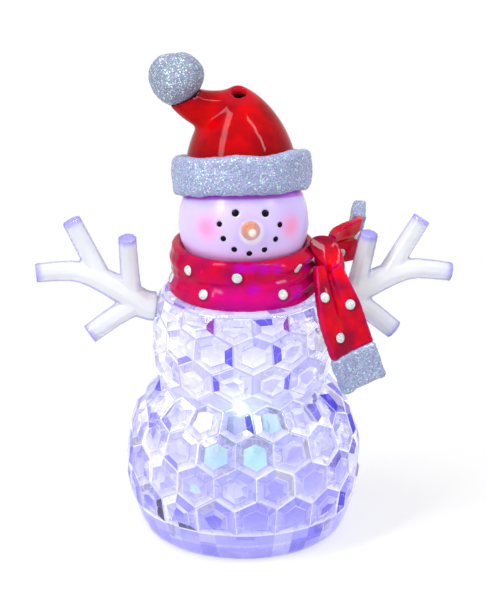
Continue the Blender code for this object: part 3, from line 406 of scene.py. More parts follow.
@as_material
def lit_bore(tree):
    """The bore's frosted wall, which glows with the lamp and is clear round it."""
    glow = ramp(tree, remap(tree, height_of(tree), 0.0, BORE_TOP), [
        (0.0, rgb(165, 158, 250)), (0.2, rgb(180, 175, 252)), (0.42, rgb(215, 230, 255)),
        (0.6, rgb(215, 213, 255)), (0.9, rgb(225, 222, 252)),
    ])
    pick = channel_of(tree, cells_of(tree, 190.0), "Red")
    patch = ramp(tree, pick, [
        (0.0, BLUE_LIGHT), (0.06, WHITE), (0.5, rgb(215, 211, 255)), (0.8, rgb(222, 218, 226)),
        (0.93, rgb(190, 240, 255)),
    ], "CONSTANT")
    clear = soft_spot(tree, LAMP_CLEARING, inner=0.0165, outer=0.0215)
    return {
        "Base Color": (0.8, 0.8, 0.95, 1.0),
        "Transmission Weight": remap(tree, clear, low=0.35, high=0.85),
        "IOR": 1.49,
        "Roughness": remap(tree, clear, low=0.3, high=0.13),
        "Emission Color": mix_colour(tree, 0.85, glow, patch, "MULTIPLY"),
        "Emission Strength": 0.2,
    }


@as_material
def pearl(tree):
    """Pearly paint tinted lavender by painted lamp light, with airbrushed cheeks; a painted pink glow low
    down, painted shade and a pale painted highlight round the nose, and a violet line of light below the
    brim.
    """
    # Painted light: a pink glow low on the head, lavender above
    low = remap(tree, height_of(tree), 0.085, 0.112)
    base = ramp(tree, low, [(0.0, rgb(232, 160, 228)), (0.4, rgb(204, 186, 243)), (1.0, rgb(195, 179, 240))])
    base = tinted(tree, base, rgb(200, 184, 240), noise_of(tree, 90.0, detail=3.0), 0.2)
    shade = soft_spot(tree, HEAD_CENTRE + Vector((0.0, -0.0192, 0.003)), inner=0.003, outer=0.0075)
    base = tinted(tree, base, rgb(192, 172, 230), shade, 0.6)
    # A pale painted highlight ring round the nose
    ring = soft_spot(tree, HEAD_CENTRE + face_spot(0.0004, 0.0026), inner=0.0029, outer=0.0043)
    base = tinted(tree, base, rgb(236, 228, 250), ring, 0.75)
    for side in (-1, 1):
        spot = HEAD_CENTRE + Vector((side * CHEEK_SPREAD, -0.0147, 0.0029))
        cheek = soft_spot(tree, spot, inner=0.0012, outer=0.0072, ragged=0.0022)
        base = tinted(tree, base, rgb(240, 132, 178), cheek, 0.8)
    brim = HEAD_CENTRE.dot(HAT_AXIS) + 0.0069
    line = remap(tree, along(tree, HAT_AXIS), brim, brim + 0.0006)
    return {
        "Base Color": tinted(tree, base, rgb(190, 70, 224), line, 0.85),
        "Roughness": 0.32, "Subsurface Weight": 0.2,
        "Subsurface Radius": (0.004, 0.003, 0.006),
        "Subsurface Scale": 1.0, "Coat Weight": 0.12, "Coat Roughness": 0.1,
        "Normal": bump(tree, noise_of(tree, 600.0, detail=3.0), strength=0.05, distance=0.0002),
    }


def hat_light(tree, base, glow):
    """Paints shade on the hat's foot above the brim, and paints light on the inside of its hole."""
    foot = remap(tree, along(tree, HAT_AXIS), 0.1180, 0.1145)
    hole = soft_spot(tree, HAT_HOLE, inner=0.0045, outer=0.0075)
    base = tinted(tree, base, rgb(124, 0, 10), foot, 0.6)
    return base, mix_colour(tree, hole, glow, rgb(214, 40, 60))


def collar_light(tree, base, glow):
    """Turns the collar magenta with painted lamp light where the lamp lights it, with painted violet glints.
    """
    waver = noise_of(tree, 160.0)
    height = math_node(tree, "MULTIPLY_ADD", waver, 0.006, height_of(tree))
    low = remap(tree, height, 0.0915, 0.0800, smooth=True)
    lobes = 0.0
    for turn in LAMP_IMAGES:
        lobe = soft_spot(tree, round_neck(turn + 10, 0.083), inner=0.007, outer=0.020)
        lobes = math_node(tree, "MAXIMUM", lobes, lobe)
    near = math_node(tree, "MULTIPLY", low, remap(tree, lobes, low=0.2))
    base = tinted(tree, base, COLLAR_MAGENTA, near, 0.75)
    for angle, z in VIOLET_GLINTS:
        spot = soft_spot(tree, round_neck(angle, z), inner=0.0004, outer=0.0044, ragged=0.0022)
        base = tinted(tree, base, rgb(140, 0, 210), spot, 0.75)
    return base, mix_colour(tree, near, glow, COLLAR_MAGENTA)


def dot_shadows(tree, base, dots):
    """Painted shadows round the scarf's dots, each a little to one side."""
    aside = Vector((0.35, 0.0, -0.2)) * MM
    for spot in dots:
        # A painted shadow beside each dot
        rim = soft_spot(tree, spot + aside, inner=1.5 * MM, outer=2.5 * MM)
        base = tinted(tree, base, rgb(104, 0, 44), rim, 0.7)
    return base


@as_material
def red_acrylic(tree, colour, deep, edge, shine, glow=BLACK, light=None, dots=()):
    """Red lacquer: darker in clouds, tinted along ridges, with painted shade towards its outline and what the
    lamp's light adds.
    """
    cloud = noise_of(tree, 90.0, detail=3.0, roughness=0.55)
    base = ramp(tree, cloud, [(0.37, deep), (0.59, colour)])
    ridge = ramp(tree, pointiness_of(tree), [(0.507, BLACK), (0.56, grey(0.8))])
    base = mix_colour(tree, ridge, base, edge)
    # Painted shade towards the outline
    base = tinted(tree, base, rgb(112, 0, 22), facing_of(tree, blend=0.3), 0.75)
    if light:
        base, glow = light(tree, base, glow)
    return {
        "Base Color": dot_shadows(tree, base, dots),
        "Roughness": 0.05, "IOR": 1.5, "Specular IOR Level": shine, "Emission Color": glow,
        "Emission Strength": 0.22, "Transmission Weight": 0.05,
        "Normal": bump(tree, noise_of(tree, 240.0), strength=0.06, distance=0.0004),
    }


@as_material
def glitter(tree, base_colour, pale_colour):
    """Small flakes, each tilted its own way, with green, pink and white sparkles."""
    flakes = cells_of(tree, 3300.0)
    pick = channel_of(tree, flakes, "Red")
    colour = ramp(tree, pick, [
        (0.0, rgb(116, 123, 164)), (0.16, base_colour), (0.6, pale_colour),
        (0.82, rgb(172, 182, 208)), (0.88, rgb(160, 228, 206)), (0.935, rgb(200, 176, 218)),
        (0.975, rgb(235, 250, 248)),
    ], "CONSTANT")
    centred = vector_node(tree, "SUBTRACT", flakes, (0.5, 0.5, 0.5)).outputs[0]
    lean = add(tree, "VectorMath", {0: centred, "Scale": 0.5}, operation="SCALE").outputs[0]
    facing = add(tree, "NewGeometry").outputs["Normal"]
    tilted = vector_node(tree, "ADD", facing, lean).outputs[0]
    return {
        "Base Color": colour,
        "Metallic": ramp(tree, pick, [(0.0, BLACK), (0.82, grey(0.1)), (0.88, grey(0.28))], "CONSTANT"),
        "Roughness": ramp(tree, pick, [(0.0, grey(0.6)), (0.7, grey(0.36))]),
        "Normal": vector_node(tree, "NORMALIZE", tilted).outputs[0],
    }


@as_material
def dot_paint(tree):
    """Pale silver paint with a fine grain for the scarf's dots."""
    pick = channel_of(tree, cells_of(tree, 3000.0), "Green")
    base = ramp(tree, pick, [(0.0, rgb(178, 186, 186)), (0.6, rgb(204, 212, 208)), (1.0, rgb(226, 232, 230))])
    return {
        "Base Color": base, "Roughness": 0.35, "Metallic": 0.15,
        "Normal": bump(tree, pick, strength=0.12, distance=0.00008),
    }


@as_material
def nose_paint(tree, out):
    """Orange paint, with pale painted highlights at the foot and the tip of the nose."""
    foot = HEAD_CENTRE.dot(out) + HEAD_RADIUS
    share = remap(tree, along(tree, out), foot, foot + NOSE_GAP + NOSE_LENGTH)
    uneven = noise_of(tree, 700.0, detail=3.0)
    share = math_node(tree, "MULTIPLY_ADD", uneven, 0.12, share)
    base = ramp(tree, share, [
        (0.06, rgb(240, 214, 196)), (0.16, rgb(206, 142, 88)), (0.5, rgb(190, 116, 58)),
        (0.9, rgb(206, 130, 74)), (1.0, rgb(238, 216, 206)),
    ])
    return {
        "Base Color": base, "Roughness": 0.25, "Coat Weight": 0.7, "Coat Roughness": 0.08,
        "Normal": bump(tree, noise_of(tree, 1500.0), strength=0.1, distance=0.0001),
    }


@as_material
def moulded(tree, colour, roughness=0.4, metallic=0.0, grain=900.0, **more):
    """A plain moulded or plated finish with a fine grain and slightly uneven tone."""
    cloud = noise_of(tree, 220.0, detail=3.0)
    darker = lit(colour, 0.84)
    return {
        "Base Color": ramp(tree, cloud, [(0.25, darker), (0.75, colour)]),
        "Roughness": remap(tree, cloud, low=0.8 * roughness, high=min(1.0, 1.25 * roughness)),
        "Metallic": metallic,
        "Normal": bump(tree, noise_of(tree, grain), strength=0.08, distance=0.0001),
        **{key.replace("_", " "): value for key, value in more.items()},
    }


# Mesh helpers

def of_type(items, wanted):
    return [item for item in items if isinstance(item, wanted)]


def linked_object(name, data):
    obj = bpy.data.objects.new(name, data)
    bpy.context.scene.collection.objects.link(obj)
    return obj


def mesh_object(name, bm):
    """An object with the mesh of a bmesh, which is freed."""
    mesh = bpy.data.meshes.new(name)
    bm.to_mesh(mesh)
    bm.free()
    return linked_object(name, mesh)


def welded_copy(node):
    bm = bmesh.new()
    bm.from_mesh(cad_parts[node].data)
    bmesh.ops.remove_doubles(bm, verts=bm.verts, dist=1e-6)
    return bm


def make_piece(name, bm, material, slot, *nodes, smooth=True):
    obj = mesh_object(name, bm)
    if smooth:
        obj.data.shade_smooth()
    obj.data.materials.append(material)
    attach(obj, "figure")
    if nodes:
        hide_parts(*nodes)
    return obj


def remeshed(bm, smoothing):
    """The same solid in even quads, with its hard edges eased."""
    obj = mesh_object("remesh_source", bm)
    mesh = obj.data
    remesh = obj.modifiers.new("Even", "REMESH")
    remesh.mode = "VOXEL"
    remesh.voxel_size = VOXEL
    ease = obj.modifiers.new("Ease", "SMOOTH")
    ease.iterations = smoothing
    ease.factor = 0.5
    graph = bpy.context.evaluated_depsgraph_get()
    result = bmesh.new()
    result.from_object(obj, graph)
    bpy.data.objects.remove(obj)
    bpy.data.meshes.remove(mesh)
    return result


def evened(bm, rounds, kept):
    """Eases a turned copy's facets, except round kept spots and along its lower rim."""
    rim_height, kept_border = 3 * MM, 2 * MM
    bm.verts.index_update()
    place = np.array([v.co[:] for v in bm.verts])
    ends = np.array([[v.index for v in edge.verts] for edge in bm.edges])
    count = np.bincount(ends.ravel(), minlength=len(place))[:, None]
    height = place @ np.array(HAT_AXIS)
    ease = np.clip((height - height.min()) / rim_height - 0.6, 0.0, 1.0)
    for spot, radius in kept:
        away = np.linalg.norm(place - np.array(spot), axis=1)
        ease *= np.clip((away - radius) / kept_border, 0.0, 1.0)
    for _ in range(rounds):
        total = np.zeros_like(place)
        np.add.at(total, ends[:, 0], place[ends[:, 1]])
        np.add.at(total, ends[:, 1], place[ends[:, 0]])
        place += 0.5 * ease[:, None] * (total / count - place)
    for v, spot in zip(bm.verts, place):
        v.co = spot
    return bm


def ruffled(bm, amount, scale, seed, swelling=0.0):
    """Moves each vertex along its normal by smooth noise and by the swelling."""
    bm.normal_update()
    shifts = []
    for v in bm.verts:
        place = v.co * scale + Vector((seed, 0, 0))
        shifts.append(v.normal * (swelling + amount * noise.noise(place)))
    for v, shift in zip(bm.verts, shifts):
        v.co += shift


def make_trim(node, bm, material, seed, *waves):
    """A glitter trim, swelled once and roughened by noise of each amount and scale."""
    swelling = TRIM_SWELLING
    for amount, scale in waves:
        ruffled(bm, amount, scale, seed, swelling)
        swelling = 0.0
    make_piece(node + "_glitter", bm, material, "silver_glitter", node)


def clamped(share):
    return min(1.0, max(0.0, share))


def turn_of(place):
    """The angle of a place round the figure's axis, in radians from the front towards +X."""
    return atan2(place.x, -place.y)


# Looks of the body's faces; each look is a tint and a glow, painting in the lamp's light and the highlights,
# shade and reflections seen in the clear acrylic

def blended(low, high, share):
    return tuple(a + (b - a) * share for a, b in zip(low, high))


def plain(tint, light, level):
    """The same look for the edge and for the rest of a face."""
    return [(tint, lit(light, level))] * 2


def lavender_at(z):
    share = clamped((z - 0.012) / 0.045)
    return blended(rgb(160, 154, 252), rgb(220, 219, 254), share)


def is_near(middle, turn, z, reach):
    """Whether a face is within reach of a place on the body's outline."""
    return (middle - round_axis(body_radius_at(z), radians(turn), z)).length < reach


def cyan_level(middle):
    """How brightly a flat facet shows the lamp's cyan light; most show none."""
    for turn, z, level in CYAN_FACETS:
        if is_near(middle, turn, z, CYAN_REACH):
            return level
    return 0.0


def band_look(middle):
    """The smooth band at the foot, in faint blocks of painted light and shade."""
    columns_per_radian, block_height, stagger = 5.7, 0.0055, 0.37
    column = floor(turn_of(middle) * columns_per_radian)
    block = noise.cell((column, middle.z / block_height + stagger * column, 3.0)) ** 3
    tint = blended(rgb(190, 184, 253), rgb(228, 226, 255), block)
    return plain(tint, rgb(188, 183, 252), 0.6 + 0.9 * block)


# The rounded grooves: lavender, with white painted highlights on some
def groove_look(middle, pick):
    if pick < (0.4 if middle.z < TORSO_FOOT else 0.7):
        return plain(rgb(196, 190, 250), lavender_at(middle.z), 0.2)
    return plain(rgb(248, 248, 255), WHITE, 0.4 + 2.6 * pick**2)


def line_look(middle, pick):
    """The thin outlines round the flat facets: dark lavender lines and white painted highlights."""
    lavender = lavender_at(middle.z)
    if pick < 0.22:
        return plain(rgb(150, 141, 236), lavender, 0.1)
    if middle.z > TORSO_FOOT:
        return plain(blended(rgb(200, 195, 250), WHITE, pick), WHITE, 1.6 * pick)
    if pick < 0.5:
        return plain(blended(lavender, WHITE, 0.5), WHITE, 0.7 * pick)
    return plain(rgb(240, 240, 255), WHITE, 1.4 * pick**2)


def flat_look(middle, pick):
    """The flat facets: a few cyan in the lamp's light, white painted highlights or grey painted reflections,
    the others lavender to white.
    """
    cyan = cyan_level(middle)
    if cyan:
        light = lit(CYAN_LIGHT, cyan)
        return (CYAN, light), (blended(CYAN, WHITE, 1.0 - cyan / BRIGHTEST_CYAN), light)
    if pick < 0.1:
        return (rgb(250, 250, 255), lit(WHITE, 1.4)), (rgb(240, 240, 255), lit(WHITE, 0.5))
    if pick < 0.16:
        return plain(rgb(222, 217, 220), rgb(205, 200, 210), 0.4)
    lavender = lavender_at(middle.z)
    pale = blended(lavender, WHITE, 0.65 * pick)
    if middle.z > TORSO_FOOT:
        return (WHITE, lit(WHITE, 0.8 + 1.6 * pick)), (pale, lit(pale, 0.5))
    return (pale, lit(pale, 0.1 + 0.8 * pick)), (lavender, lit(lavender, 0.2))


def marked_slope_look(middle, pick):
    """The look of a slope with a strong colour, by its place or by chance, or None; these colours are painted
    lamp light, highlights and dark reflections.
    """
    turn = abs(degrees(turn_of(middle)))
    if any(is_near(middle, *spot, SLOPE_REACH) for spot in BLUE_SLOPES):
        return plain(rgb(74, 58, 226), BLUE_LIGHT, 0.3)
    if any(is_near(middle, *spot, SLOPE_REACH) for spot in MAGENTA_SLOPES):
        return plain(rgb(140, 10, 150), rgb(150, 0, 130), 0.2)
    if middle.z < 0.017 and 35 < turn < 85 and pick < 0.22:
        return plain(rgb(52, 46, 66), WHITE, 0.0)
    if pick > 0.965:
        return plain(rgb(70, 52, 226), BLUE_LIGHT, 0.3)
    if turn > 40 and pick < 0.1:
        return plain(rgb(132, 120, 226), lavender_at(middle.z), 0.1)
    if turn > 40 and pick < 0.17:
        return plain(rgb(150, 145, 165), WHITE, 0.1)
    if turn > 40 and pick < 0.34:
        return plain(rgb(252, 252, 255), WHITE, 2.4)
    if pick < 0.07:
        return plain(rgb(208, 203, 206), rgb(190, 186, 192), 0.4)
    return None


def slope_look(middle, kind, pick, rng):
    """The sloping borders: lavender, with painted highlights palest below their facet, a few in strong
    colours.
    """
    marked = marked_slope_look(middle, pick)
    if marked:
        return marked
    pale = {UNDER: 0.8, OVER: 0.0, BESIDE: 0.35}[kind]
    lavender = lavender_at(middle.z)
    if middle.z > TORSO_FOOT:
        lavender = blended(rgb(236, 235, 255), rgb(172, 164, 246), rng.random() ** 1.5)
    outer = blended(lavender, WHITE, pale)
    inner = blended(lavender, WHITE, 0.3 * pale)
    return (outer, lit(outer, pale * (1.2 + 2.2 * pick))), (inner, lit(inner, 0.15 + 0.3 * pick))


def seam_look(middle, pick):
    """The waist and shoulder: partly violet with painted lamp light, partly white painted highlights."""
    if pick < 0.3:
        return plain(rgb(250, 250, 255), WHITE, 0.8)
    if pick < 0.4:
        return plain(rgb(170, 90, 215), rgb(150, 0, 150), 0.2)
    return plain(blended(lavender_at(middle.z), WHITE, 0.3), rgb(225, 235, 255), 0.4)


def facet_look(face, kind, rng):
    """Two looks for a face of the body: for its outer or lower corners, and for the rest."""
    middle = face.calc_center_median()
    pick = rng.random()
    if kind == BAND:
        return band_look(middle)
    if kind in SLOPES:
        return slope_look(middle, kind, pick, rng)
    look = {GROOVE: groove_look, LINE: line_look, FLAT: flat_look}.get(kind, seam_look)
    return look(middle, pick)


def patch_look(z, pick):
    """Two looks for the smaller outline inside a flat facet, as painted reflection and light."""
    lavender = lavender_at(z)
    if z < 0.018:
        colour = blended(lavender, rgb(96, 84, 232), 0.35 + 0.3 * pick)
        return (colour, lit(colour, 0.3)), (blended(colour, rgb(60, 44, 215), 0.4), lit(colour, 0.2))
    if pick < 0.3:
        colour = blended(lavender, rgb(120, 108, 245), 0.4)
        return (lavender, lit(lavender, 0.4)), (colour, lit(colour, 0.4))
    if pick < 0.65:
        pale = blended(lavender, WHITE, 0.6)
        return (pale, lit(WHITE, 1.2)), (pale, lit(WHITE, 0.4))
    if pick < 0.8:
        return plain(blended(lavender, rgb(120, 108, 245), 0.2), lavender, 0.5)
    if pick < 0.9:
        return plain(rgb(206, 246, 255), rgb(206, 246, 255), 1.0)
    return plain(rgb(222, 217, 220), rgb(205, 200, 206), 0.4)


def at_edge(loop, kind):
    """Whether a corner is in a flat facet's lower half, or at another face's outer border."""
    if loop.face[kind] in (FLAT, BAND):
        return loop.vert.co.z < loop.face.calc_center_median().z
    return any(face[kind] == GROOVE for face in loop.vert.link_faces)


# Body

def honeycomb(bm, columns, heights, flat_height, shift=0):
    """Rows of point-up hexagons round the body between the heights, with one end cut flat."""
    rings = []
    for line, height in enumerate(heights):
        step = heights[line + 1] - height if line + 1 < len(heights) else height - heights[line - 1]
        tooth = 0.0 if height == flat_height else step / 6
        ring = []
        for corner in range(2 * columns):
            z = height + (tooth if (corner + line) % 2 == 0 else -tooth)
            angle = (corner - 1 + shift) * pi / columns
            place = round_axis(body_radius_at(z), angle, z)
            stray = noise.noise_vector(place * STRAY_SCALE) * CORNER_STRAY
            angle += stray.x / body_radius_at(z)
            z += stray.z if tooth else 0.0
            ring.append(bm.verts.new(round_axis(body_radius_at(z), angle, z)))
        rings.append(ring)
    for line, (low, high) in enumerate(zip(rings, rings[1:])):
        for first in range(line % 2, 2 * columns, 2):
            trio = [(first + step) % (2 * columns) for step in range(3)]
            bm.faces.new([low[i] for i in trio] + [high[i] for i in reversed(trio)])
    return rings


def ring_edges(bm, ring):
    return [bm.edges.get((ring[i - 1], ring[i])) for i in range(len(ring))]


def grow_rings(bm, edges, steps, kind, value):
    """Extrudes a ring of edges through (radius, height) steps and marks the new faces."""
    for radius, z in steps:
        made = bmesh.ops.extrude_edge_only(bm, edges=edges)["geom"]
        corners = set(of_type(made, BMVert))
        for corner in corners:
            corner.co = round_axis(radius, turn_of(corner.co), z)
        for face in of_type(made, BMFace):
            face[kind] = value
        edges = [edge for edge in of_type(made, BMEdge) if set(edge.verts) <= corners]
    return edges


def inset(bm, faces, width, depth=0.0):
    """Insets each face by itself, and returns the new faces round them."""
    made = bmesh.ops.inset_individual(bm, faces=faces, thickness=width, depth=depth, use_even_offset=True)
    return made["faces"]


def tilt(face, one_way, other_way):
    """Leans a facet whose corners no other facet shares."""
    middle, normal = face.calc_center_median(), face.normal.copy()
    side = normal.orthogonal().normalized()
    other = normal.cross(side)
    for v in face.verts:
        away = v.co - middle
        v.co += normal * (one_way * away.dot(side) + other_way * away.dot(other))


def off_centre(face, rng):
    """Makes an inner facet's outline uneven and moves it a little to one side."""
    middle, normal = face.calc_center_median(), face.normal.copy()
    side = normal.orthogonal().normalized()
    shift = (side * rng.uniform(-0.5, 0.5) + normal.cross(side) * rng.uniform(-0.5, 0.5)) * MM
    for v in face.verts:
        v.co += shift + (v.co - middle) * rng.uniform(-0.4, 0.25)


def slope_kind(face, kind):
    neighbours = [f for e in face.edges for f in e.link_faces if f is not face]
    flat = next(f for f in neighbours if f[kind] == FLAT and len(f.verts) > 4)
    away = (face.calc_center_median() - flat.calc_center_median()).normalized()
    if away.z < -STEEP:
        return UNDER
    return OVER if away.z > STEEP else BESIDE


def body_shell(bm, kind):
    """Makes the closed shell, and returns its flat facets and the edges between them."""
    ball = honeycomb(bm, BALL_COLUMNS, BALL_HEIGHTS, BALL_HEIGHTS[0])
    torso = honeycomb(bm, TORSO_COLUMNS, TORSO_HEIGHTS, TORSO_HEIGHTS[-1], 1)
    flats = list(bm.faces)
    grooves = list(bm.edges)
    for face in flats:
        face[kind] = FLAT
    bmesh.ops.bridge_loops(bm, edges=ring_edges(bm, ball[-1]) + ring_edges(bm, torso[0]))
    band = [(body_radius_at(z), z) for z in BAND_HEIGHTS] + FOOT_ROUND
    foot = grow_rings(bm, ring_edges(bm, ball[0]), band, kind, BAND)
    inner = grow_rings(bm, foot, BORE_OUTLINE, kind, BORE)
    outer = grow_rings(bm, ring_edges(bm, torso[-1]), NECK_OUTLINE, kind, SEAM)
    bmesh.ops.bridge_loops(bm, edges=inner + outer)
    bmesh.ops.recalc_face_normals(bm, faces=bm.faces)
    return flats, grooves


def raise_facets(bm, kind, flats, grooves, rng):
    """Lifts and leans the facets, rounds the grooves between them and adds outlines."""
    slopes = inset(bm, flats, SLOPE_WIDTH, FACET_RAISE)
    bmesh.ops.planar_faces(bm, faces=flats, iterations=20, factor=1.0)
    for face in flats:
        tilt(face, *rng.uniform(-FACET_LEAN, FACET_LEAN, 2))
    for face in slopes:
        face[kind] = slope_kind(face, kind)
    rounded = bmesh.ops.bevel(
        bm, geom=grooves, offset=GROOVE_WIDTH, segments=2, profile=0.5, affect="EDGES",
    )["faces"]
    for face in rounded:
        face[kind] = GROOVE
    for face in inset(bm, flats, OUTLINE_WIDTH):
        face[kind] = LINE


def add_patches(bm, flats, rng):
    """Uneven outlines inside many of the facets, each a painted reflection with its looks."""
    patches = {}
    for face in flats:
        pick = rng.random()
        if pick >= PATCH_SHARE or cyan_level(face.calc_center_median()):
            continue
        heights = [v.co.z for v in face.verts]
        widest = 0.28 * (max(heights) - min(heights))
        inset(bm, [face], min((0.7 + 2.0 * pick) * MM, widest))
        off_centre(face, rng)
        patches[face] = patch_look(face.calc_center_median().z, rng.random())
    return patches


def colour_faces(bm, kind, patches, rng):
    """Gives each corner its tint, its glow and, as the glow's alpha, its share of painted light streaks."""
    tint = bm.loops.layers.float_color.new("tint")
    glow = bm.loops.layers.float_color.new("glow")
    for face in bm.faces:
        edge_look, inner_look = patches.get(face) or facet_look(face, face[kind], rng)
        face.material_index = 1 if face[kind] == BORE else 0
        face.smooth = face[kind] in (BORE, BAND, GROOVE)
        streak_share = 1.0 if face[kind] in SLOPES else 0.4
        for loop in face.loops:
            loop[tint], light = edge_look if at_edge(loop, kind) else inner_look
            loop[glow] = (*light[:3], streak_share)


def make_body():
    """The clear body with its honeycomb of facets, and its lit bore."""
    bm = bmesh.new()
    kind = bm.faces.layers.int.new("kind")
    rng = np.random.default_rng(7)
    flats, grooves = body_shell(bm, kind)
    raise_facets(bm, kind, flats, grooves, rng)
    patches = add_patches(bm, flats, rng)
    bm.normal_update()
    colour_faces(bm, kind, patches, rng)
    for edge in bm.edges:
        edge.smooth = all(f.smooth for f in edge.link_faces) and edge.calc_face_angle(0.0) < SHARP_ANGLE
    body = make_piece("clear_body", bm, clear_body("clear_body"), "clear_acrylic", "body_shell", smooth=False)
    body.data.materials.append(lit_bore("lit_bore"))


# Arms

def twig_ends(node):
    """The middles of an arm's large flat ends."""
    bm = welded_copy(node)
    bmesh.ops.dissolve_limit(bm, angle_limit=radians(1), verts=bm.verts, edges=bm.edges)
    ends = [f.calc_center_median() for f in bm.faces if f.calc_area() > TIP_AREA and len(f.verts) > 8]
    bm.free()
    return ends


def cut_arm(node, out):
    """A copy of an arm without its peg, closed where it is cut."""
    bm = welded_copy(node)
    cut = bmesh.ops.bisect_plane(
        bm, geom=list(bm.verts) + list(bm.edges) + list(bm.faces),
        plane_co=(out * ARM_CUT, 0, 0), plane_no=(out, 0, 0), clear_inner=True,
    )["geom_cut"]
    bmesh.ops.holes_fill(bm, edges=of_type(cut, BMEdge))
    return remeshed(bm, smoothing=4)


def make_arms():
    """The clear twigs, with lavender lamp light painted at their cut ends."""
    material = clear_arm("clear_arm")
    for node in ("arm_left", "arm_right"):
        ends = twig_ends(node)
        tips = [end for end in ends if abs(end.x) > TIP_REACH or end.z > TIP_HEIGHT]
        bm = cut_arm(node, copysign(1.0, ends[0].x))
        tint = bm.verts.layers.float_color.new("tint")
        for v in bm.verts:
            away = min((v.co - tip).length for tip in tips)
            clear = blended(rgb(226, 229, 235), rgb(244, 246, 249), min(1.0, away / 0.02))
            # Painted lamp light at the cut ends
            end = exp(-((max(0.0, away - 2.6 * MM) / (0.6 * MM)) ** 2))
            v[tint] = blended(clear, rgb(176, 167, 248), end)
        make_piece(node + "_clear", bm, material, "clear_acrylic", node)


# Head and hat

def join_rings(bm, rings, sides):
    """Makes the faces between rings of corners; a ring may also be a single corner."""
    for ring, following in zip(rings, rings[1:]):
        for i in range(sides):
            j = (i + 1) % sides
            near = [ring[i % len(ring)], following[i % len(following)]]
            far = [following[j % len(following)], ring[j % len(ring)]]
            bm.faces.new(list(dict.fromkeys(near + far)))


def add_lathe(bm, profile, place, out, steps):
    """A turned solid along out; its profile runs from tip to foot as (radius, height)."""
    turn = Matrix.Translation(place) @ out.to_track_quat("Z", "Y").to_matrix().to_4x4()
    rings = []
    for radius, height in profile:
        count = 1 if radius == 0 else steps
        angles = [2 * pi * i / steps for i in range(count)]
        corners = [Vector((radius * cos(a), radius * sin(a), height)) for a in angles]
        rings.append([bm.verts.new(turn @ corner) for corner in corners])
    join_rings(bm, rings, steps)
    bmesh.ops.recalc_face_normals(bm, faces=bm.faces)


def face_dots():
    """The place and radius of each dot of the eyes and mouth, with the face's roll."""
    dots = [(side * EYE_SPREAD, EYE_HEIGHT, EYE_RADIUS) for side in (-1, 1)]
    for i in range(MOUTH_DOTS):
        turn = pi * (i / (MOUTH_DOTS - 1) - 0.5)
        x, z = MOUTH_SPREAD * sin(turn), MOUTH_TOP - MOUTH_DROP * cos(turn)
        dots.append((x, z, MOUTH_DOT_RADIUS))
    for x, z, radius in dots:
        lift = z - FACE_MIDDLE
        wide = x * cos(FACE_ROLL) + lift * sin(FACE_ROLL)
        high = FACE_MIDDLE + lift * cos(FACE_ROLL) - x * sin(FACE_ROLL) - FACE_SINK
        yield face_spot(wide, high), radius


def dot_profile(radius):
    quarter = np.linspace(0, pi / 2, 6)
    dome = [(radius * sin(a), radius * (0.42 * cos(a) - 0.3)) for a in quarter]
    return dome + [(0.8 * radius, -0.55 * radius), (0, -0.6 * radius)]


def nose_profile():
    """A blunt cone with shallow carrot rings, a foot and a peg."""
    profile = [(0.0, NOSE_LENGTH)]
    for share in np.linspace(0.04, 1.0, 22):
        radius = NOSE_RADIUS * min(1.0, 0.34 + 0.72 * share) * min(1.0, (share / 0.12) ** 0.5)
        ringed = sin(share * 19 + 0.6 * sin(share * 7)) > 0.82
        profile.append((radius * (1 - 0.035 * ringed), NOSE_LENGTH * (1 - share)))
    return profile + [(0.0024, -0.0001), (0.0012, -0.00012), (0.0012, -0.0019), (0, -0.002)]


def make_face():
    """The painted eyes and mouth in their dimples, and the carrot nose."""
    bm = bmesh.new()
    for spot, radius in face_dots():
        add_lathe(bm, dot_profile(radius), HEAD_CENTRE + spot, spot.normalized(), 20)
    black = moulded("black_paint", rgb(10, 9, 16), 0.25, Specular_IOR_Level=0.1)
    make_piece("face_dots", bm, black, "black_plastic")
    out = face_spot(0.0, FACE_MIDDLE).normalized()
    bm = bmesh.new()
    add_lathe(bm, nose_profile(), HEAD_CENTRE + out * (HEAD_RADIUS + NOSE_GAP), out, 32)
    make_piece("carrot_nose", bm, nose_paint("nose_paint", out), "nose_orange", "nose")


def make_head():
    """The head, made round at the face and dimpled where the painted dots are."""
    bm = remeshed(welded_copy("head_shell"), smoothing=3)
    dots = list(face_dots())
    for v in bm.verts:
        out = v.co - HEAD_CENTRE
        if out.y < -0.008 and 0.0183 < out.length < 0.0198:
            out = out.normalized() * HEAD_RADIUS
            shares = [((out - spot).length / (DENT_WIDTH * radius), radius) for spot, radius in dots]
            dents = [DENT_DEPTH * radius * (1 - share**2) for share, radius in shares]
            v.co = HEAD_CENTRE + out * (1 - max(0.0, *dents) / HEAD_RADIUS)
    make_piece("pearl_head", bm, pearl("pearl_head"), "pearl_plastic", "head_shell")


def make_hat():
    """The red crown, and the glitter brim and pompom."""
    kept = [(HAT_HOLE, 2.6 * MM), (POMPOM_CENTRE, 9.3 * MM)]
    bm = evened(remeshed(welded_copy("hat_crown"), smoothing=4), 60, kept)
    red = red_acrylic("red_hat", rgb(204, 0, 2), rgb(150, 0, 14), rgb(150, 0, 40), 0.05, light=hat_light)
    make_piece("red_hat", bm, red, "red_acrylic", "hat_crown")
    trims = (
        ("hat_brim", 24, 0.9 * MM, 3.0, GLITTER),
        ("hat_pompom", 6, 1.3 * MM, 11.0, POMPOM_GLITTER),
    )
    for node, smoothing, lumps, seed, material in trims:
        bm = remeshed(welded_copy(node), smoothing)
        make_trim(node, bm, material, seed, (lumps, 130.0), (0.2 * MM, 600.0), (0.07 * MM, 1800.0))


# Scarf

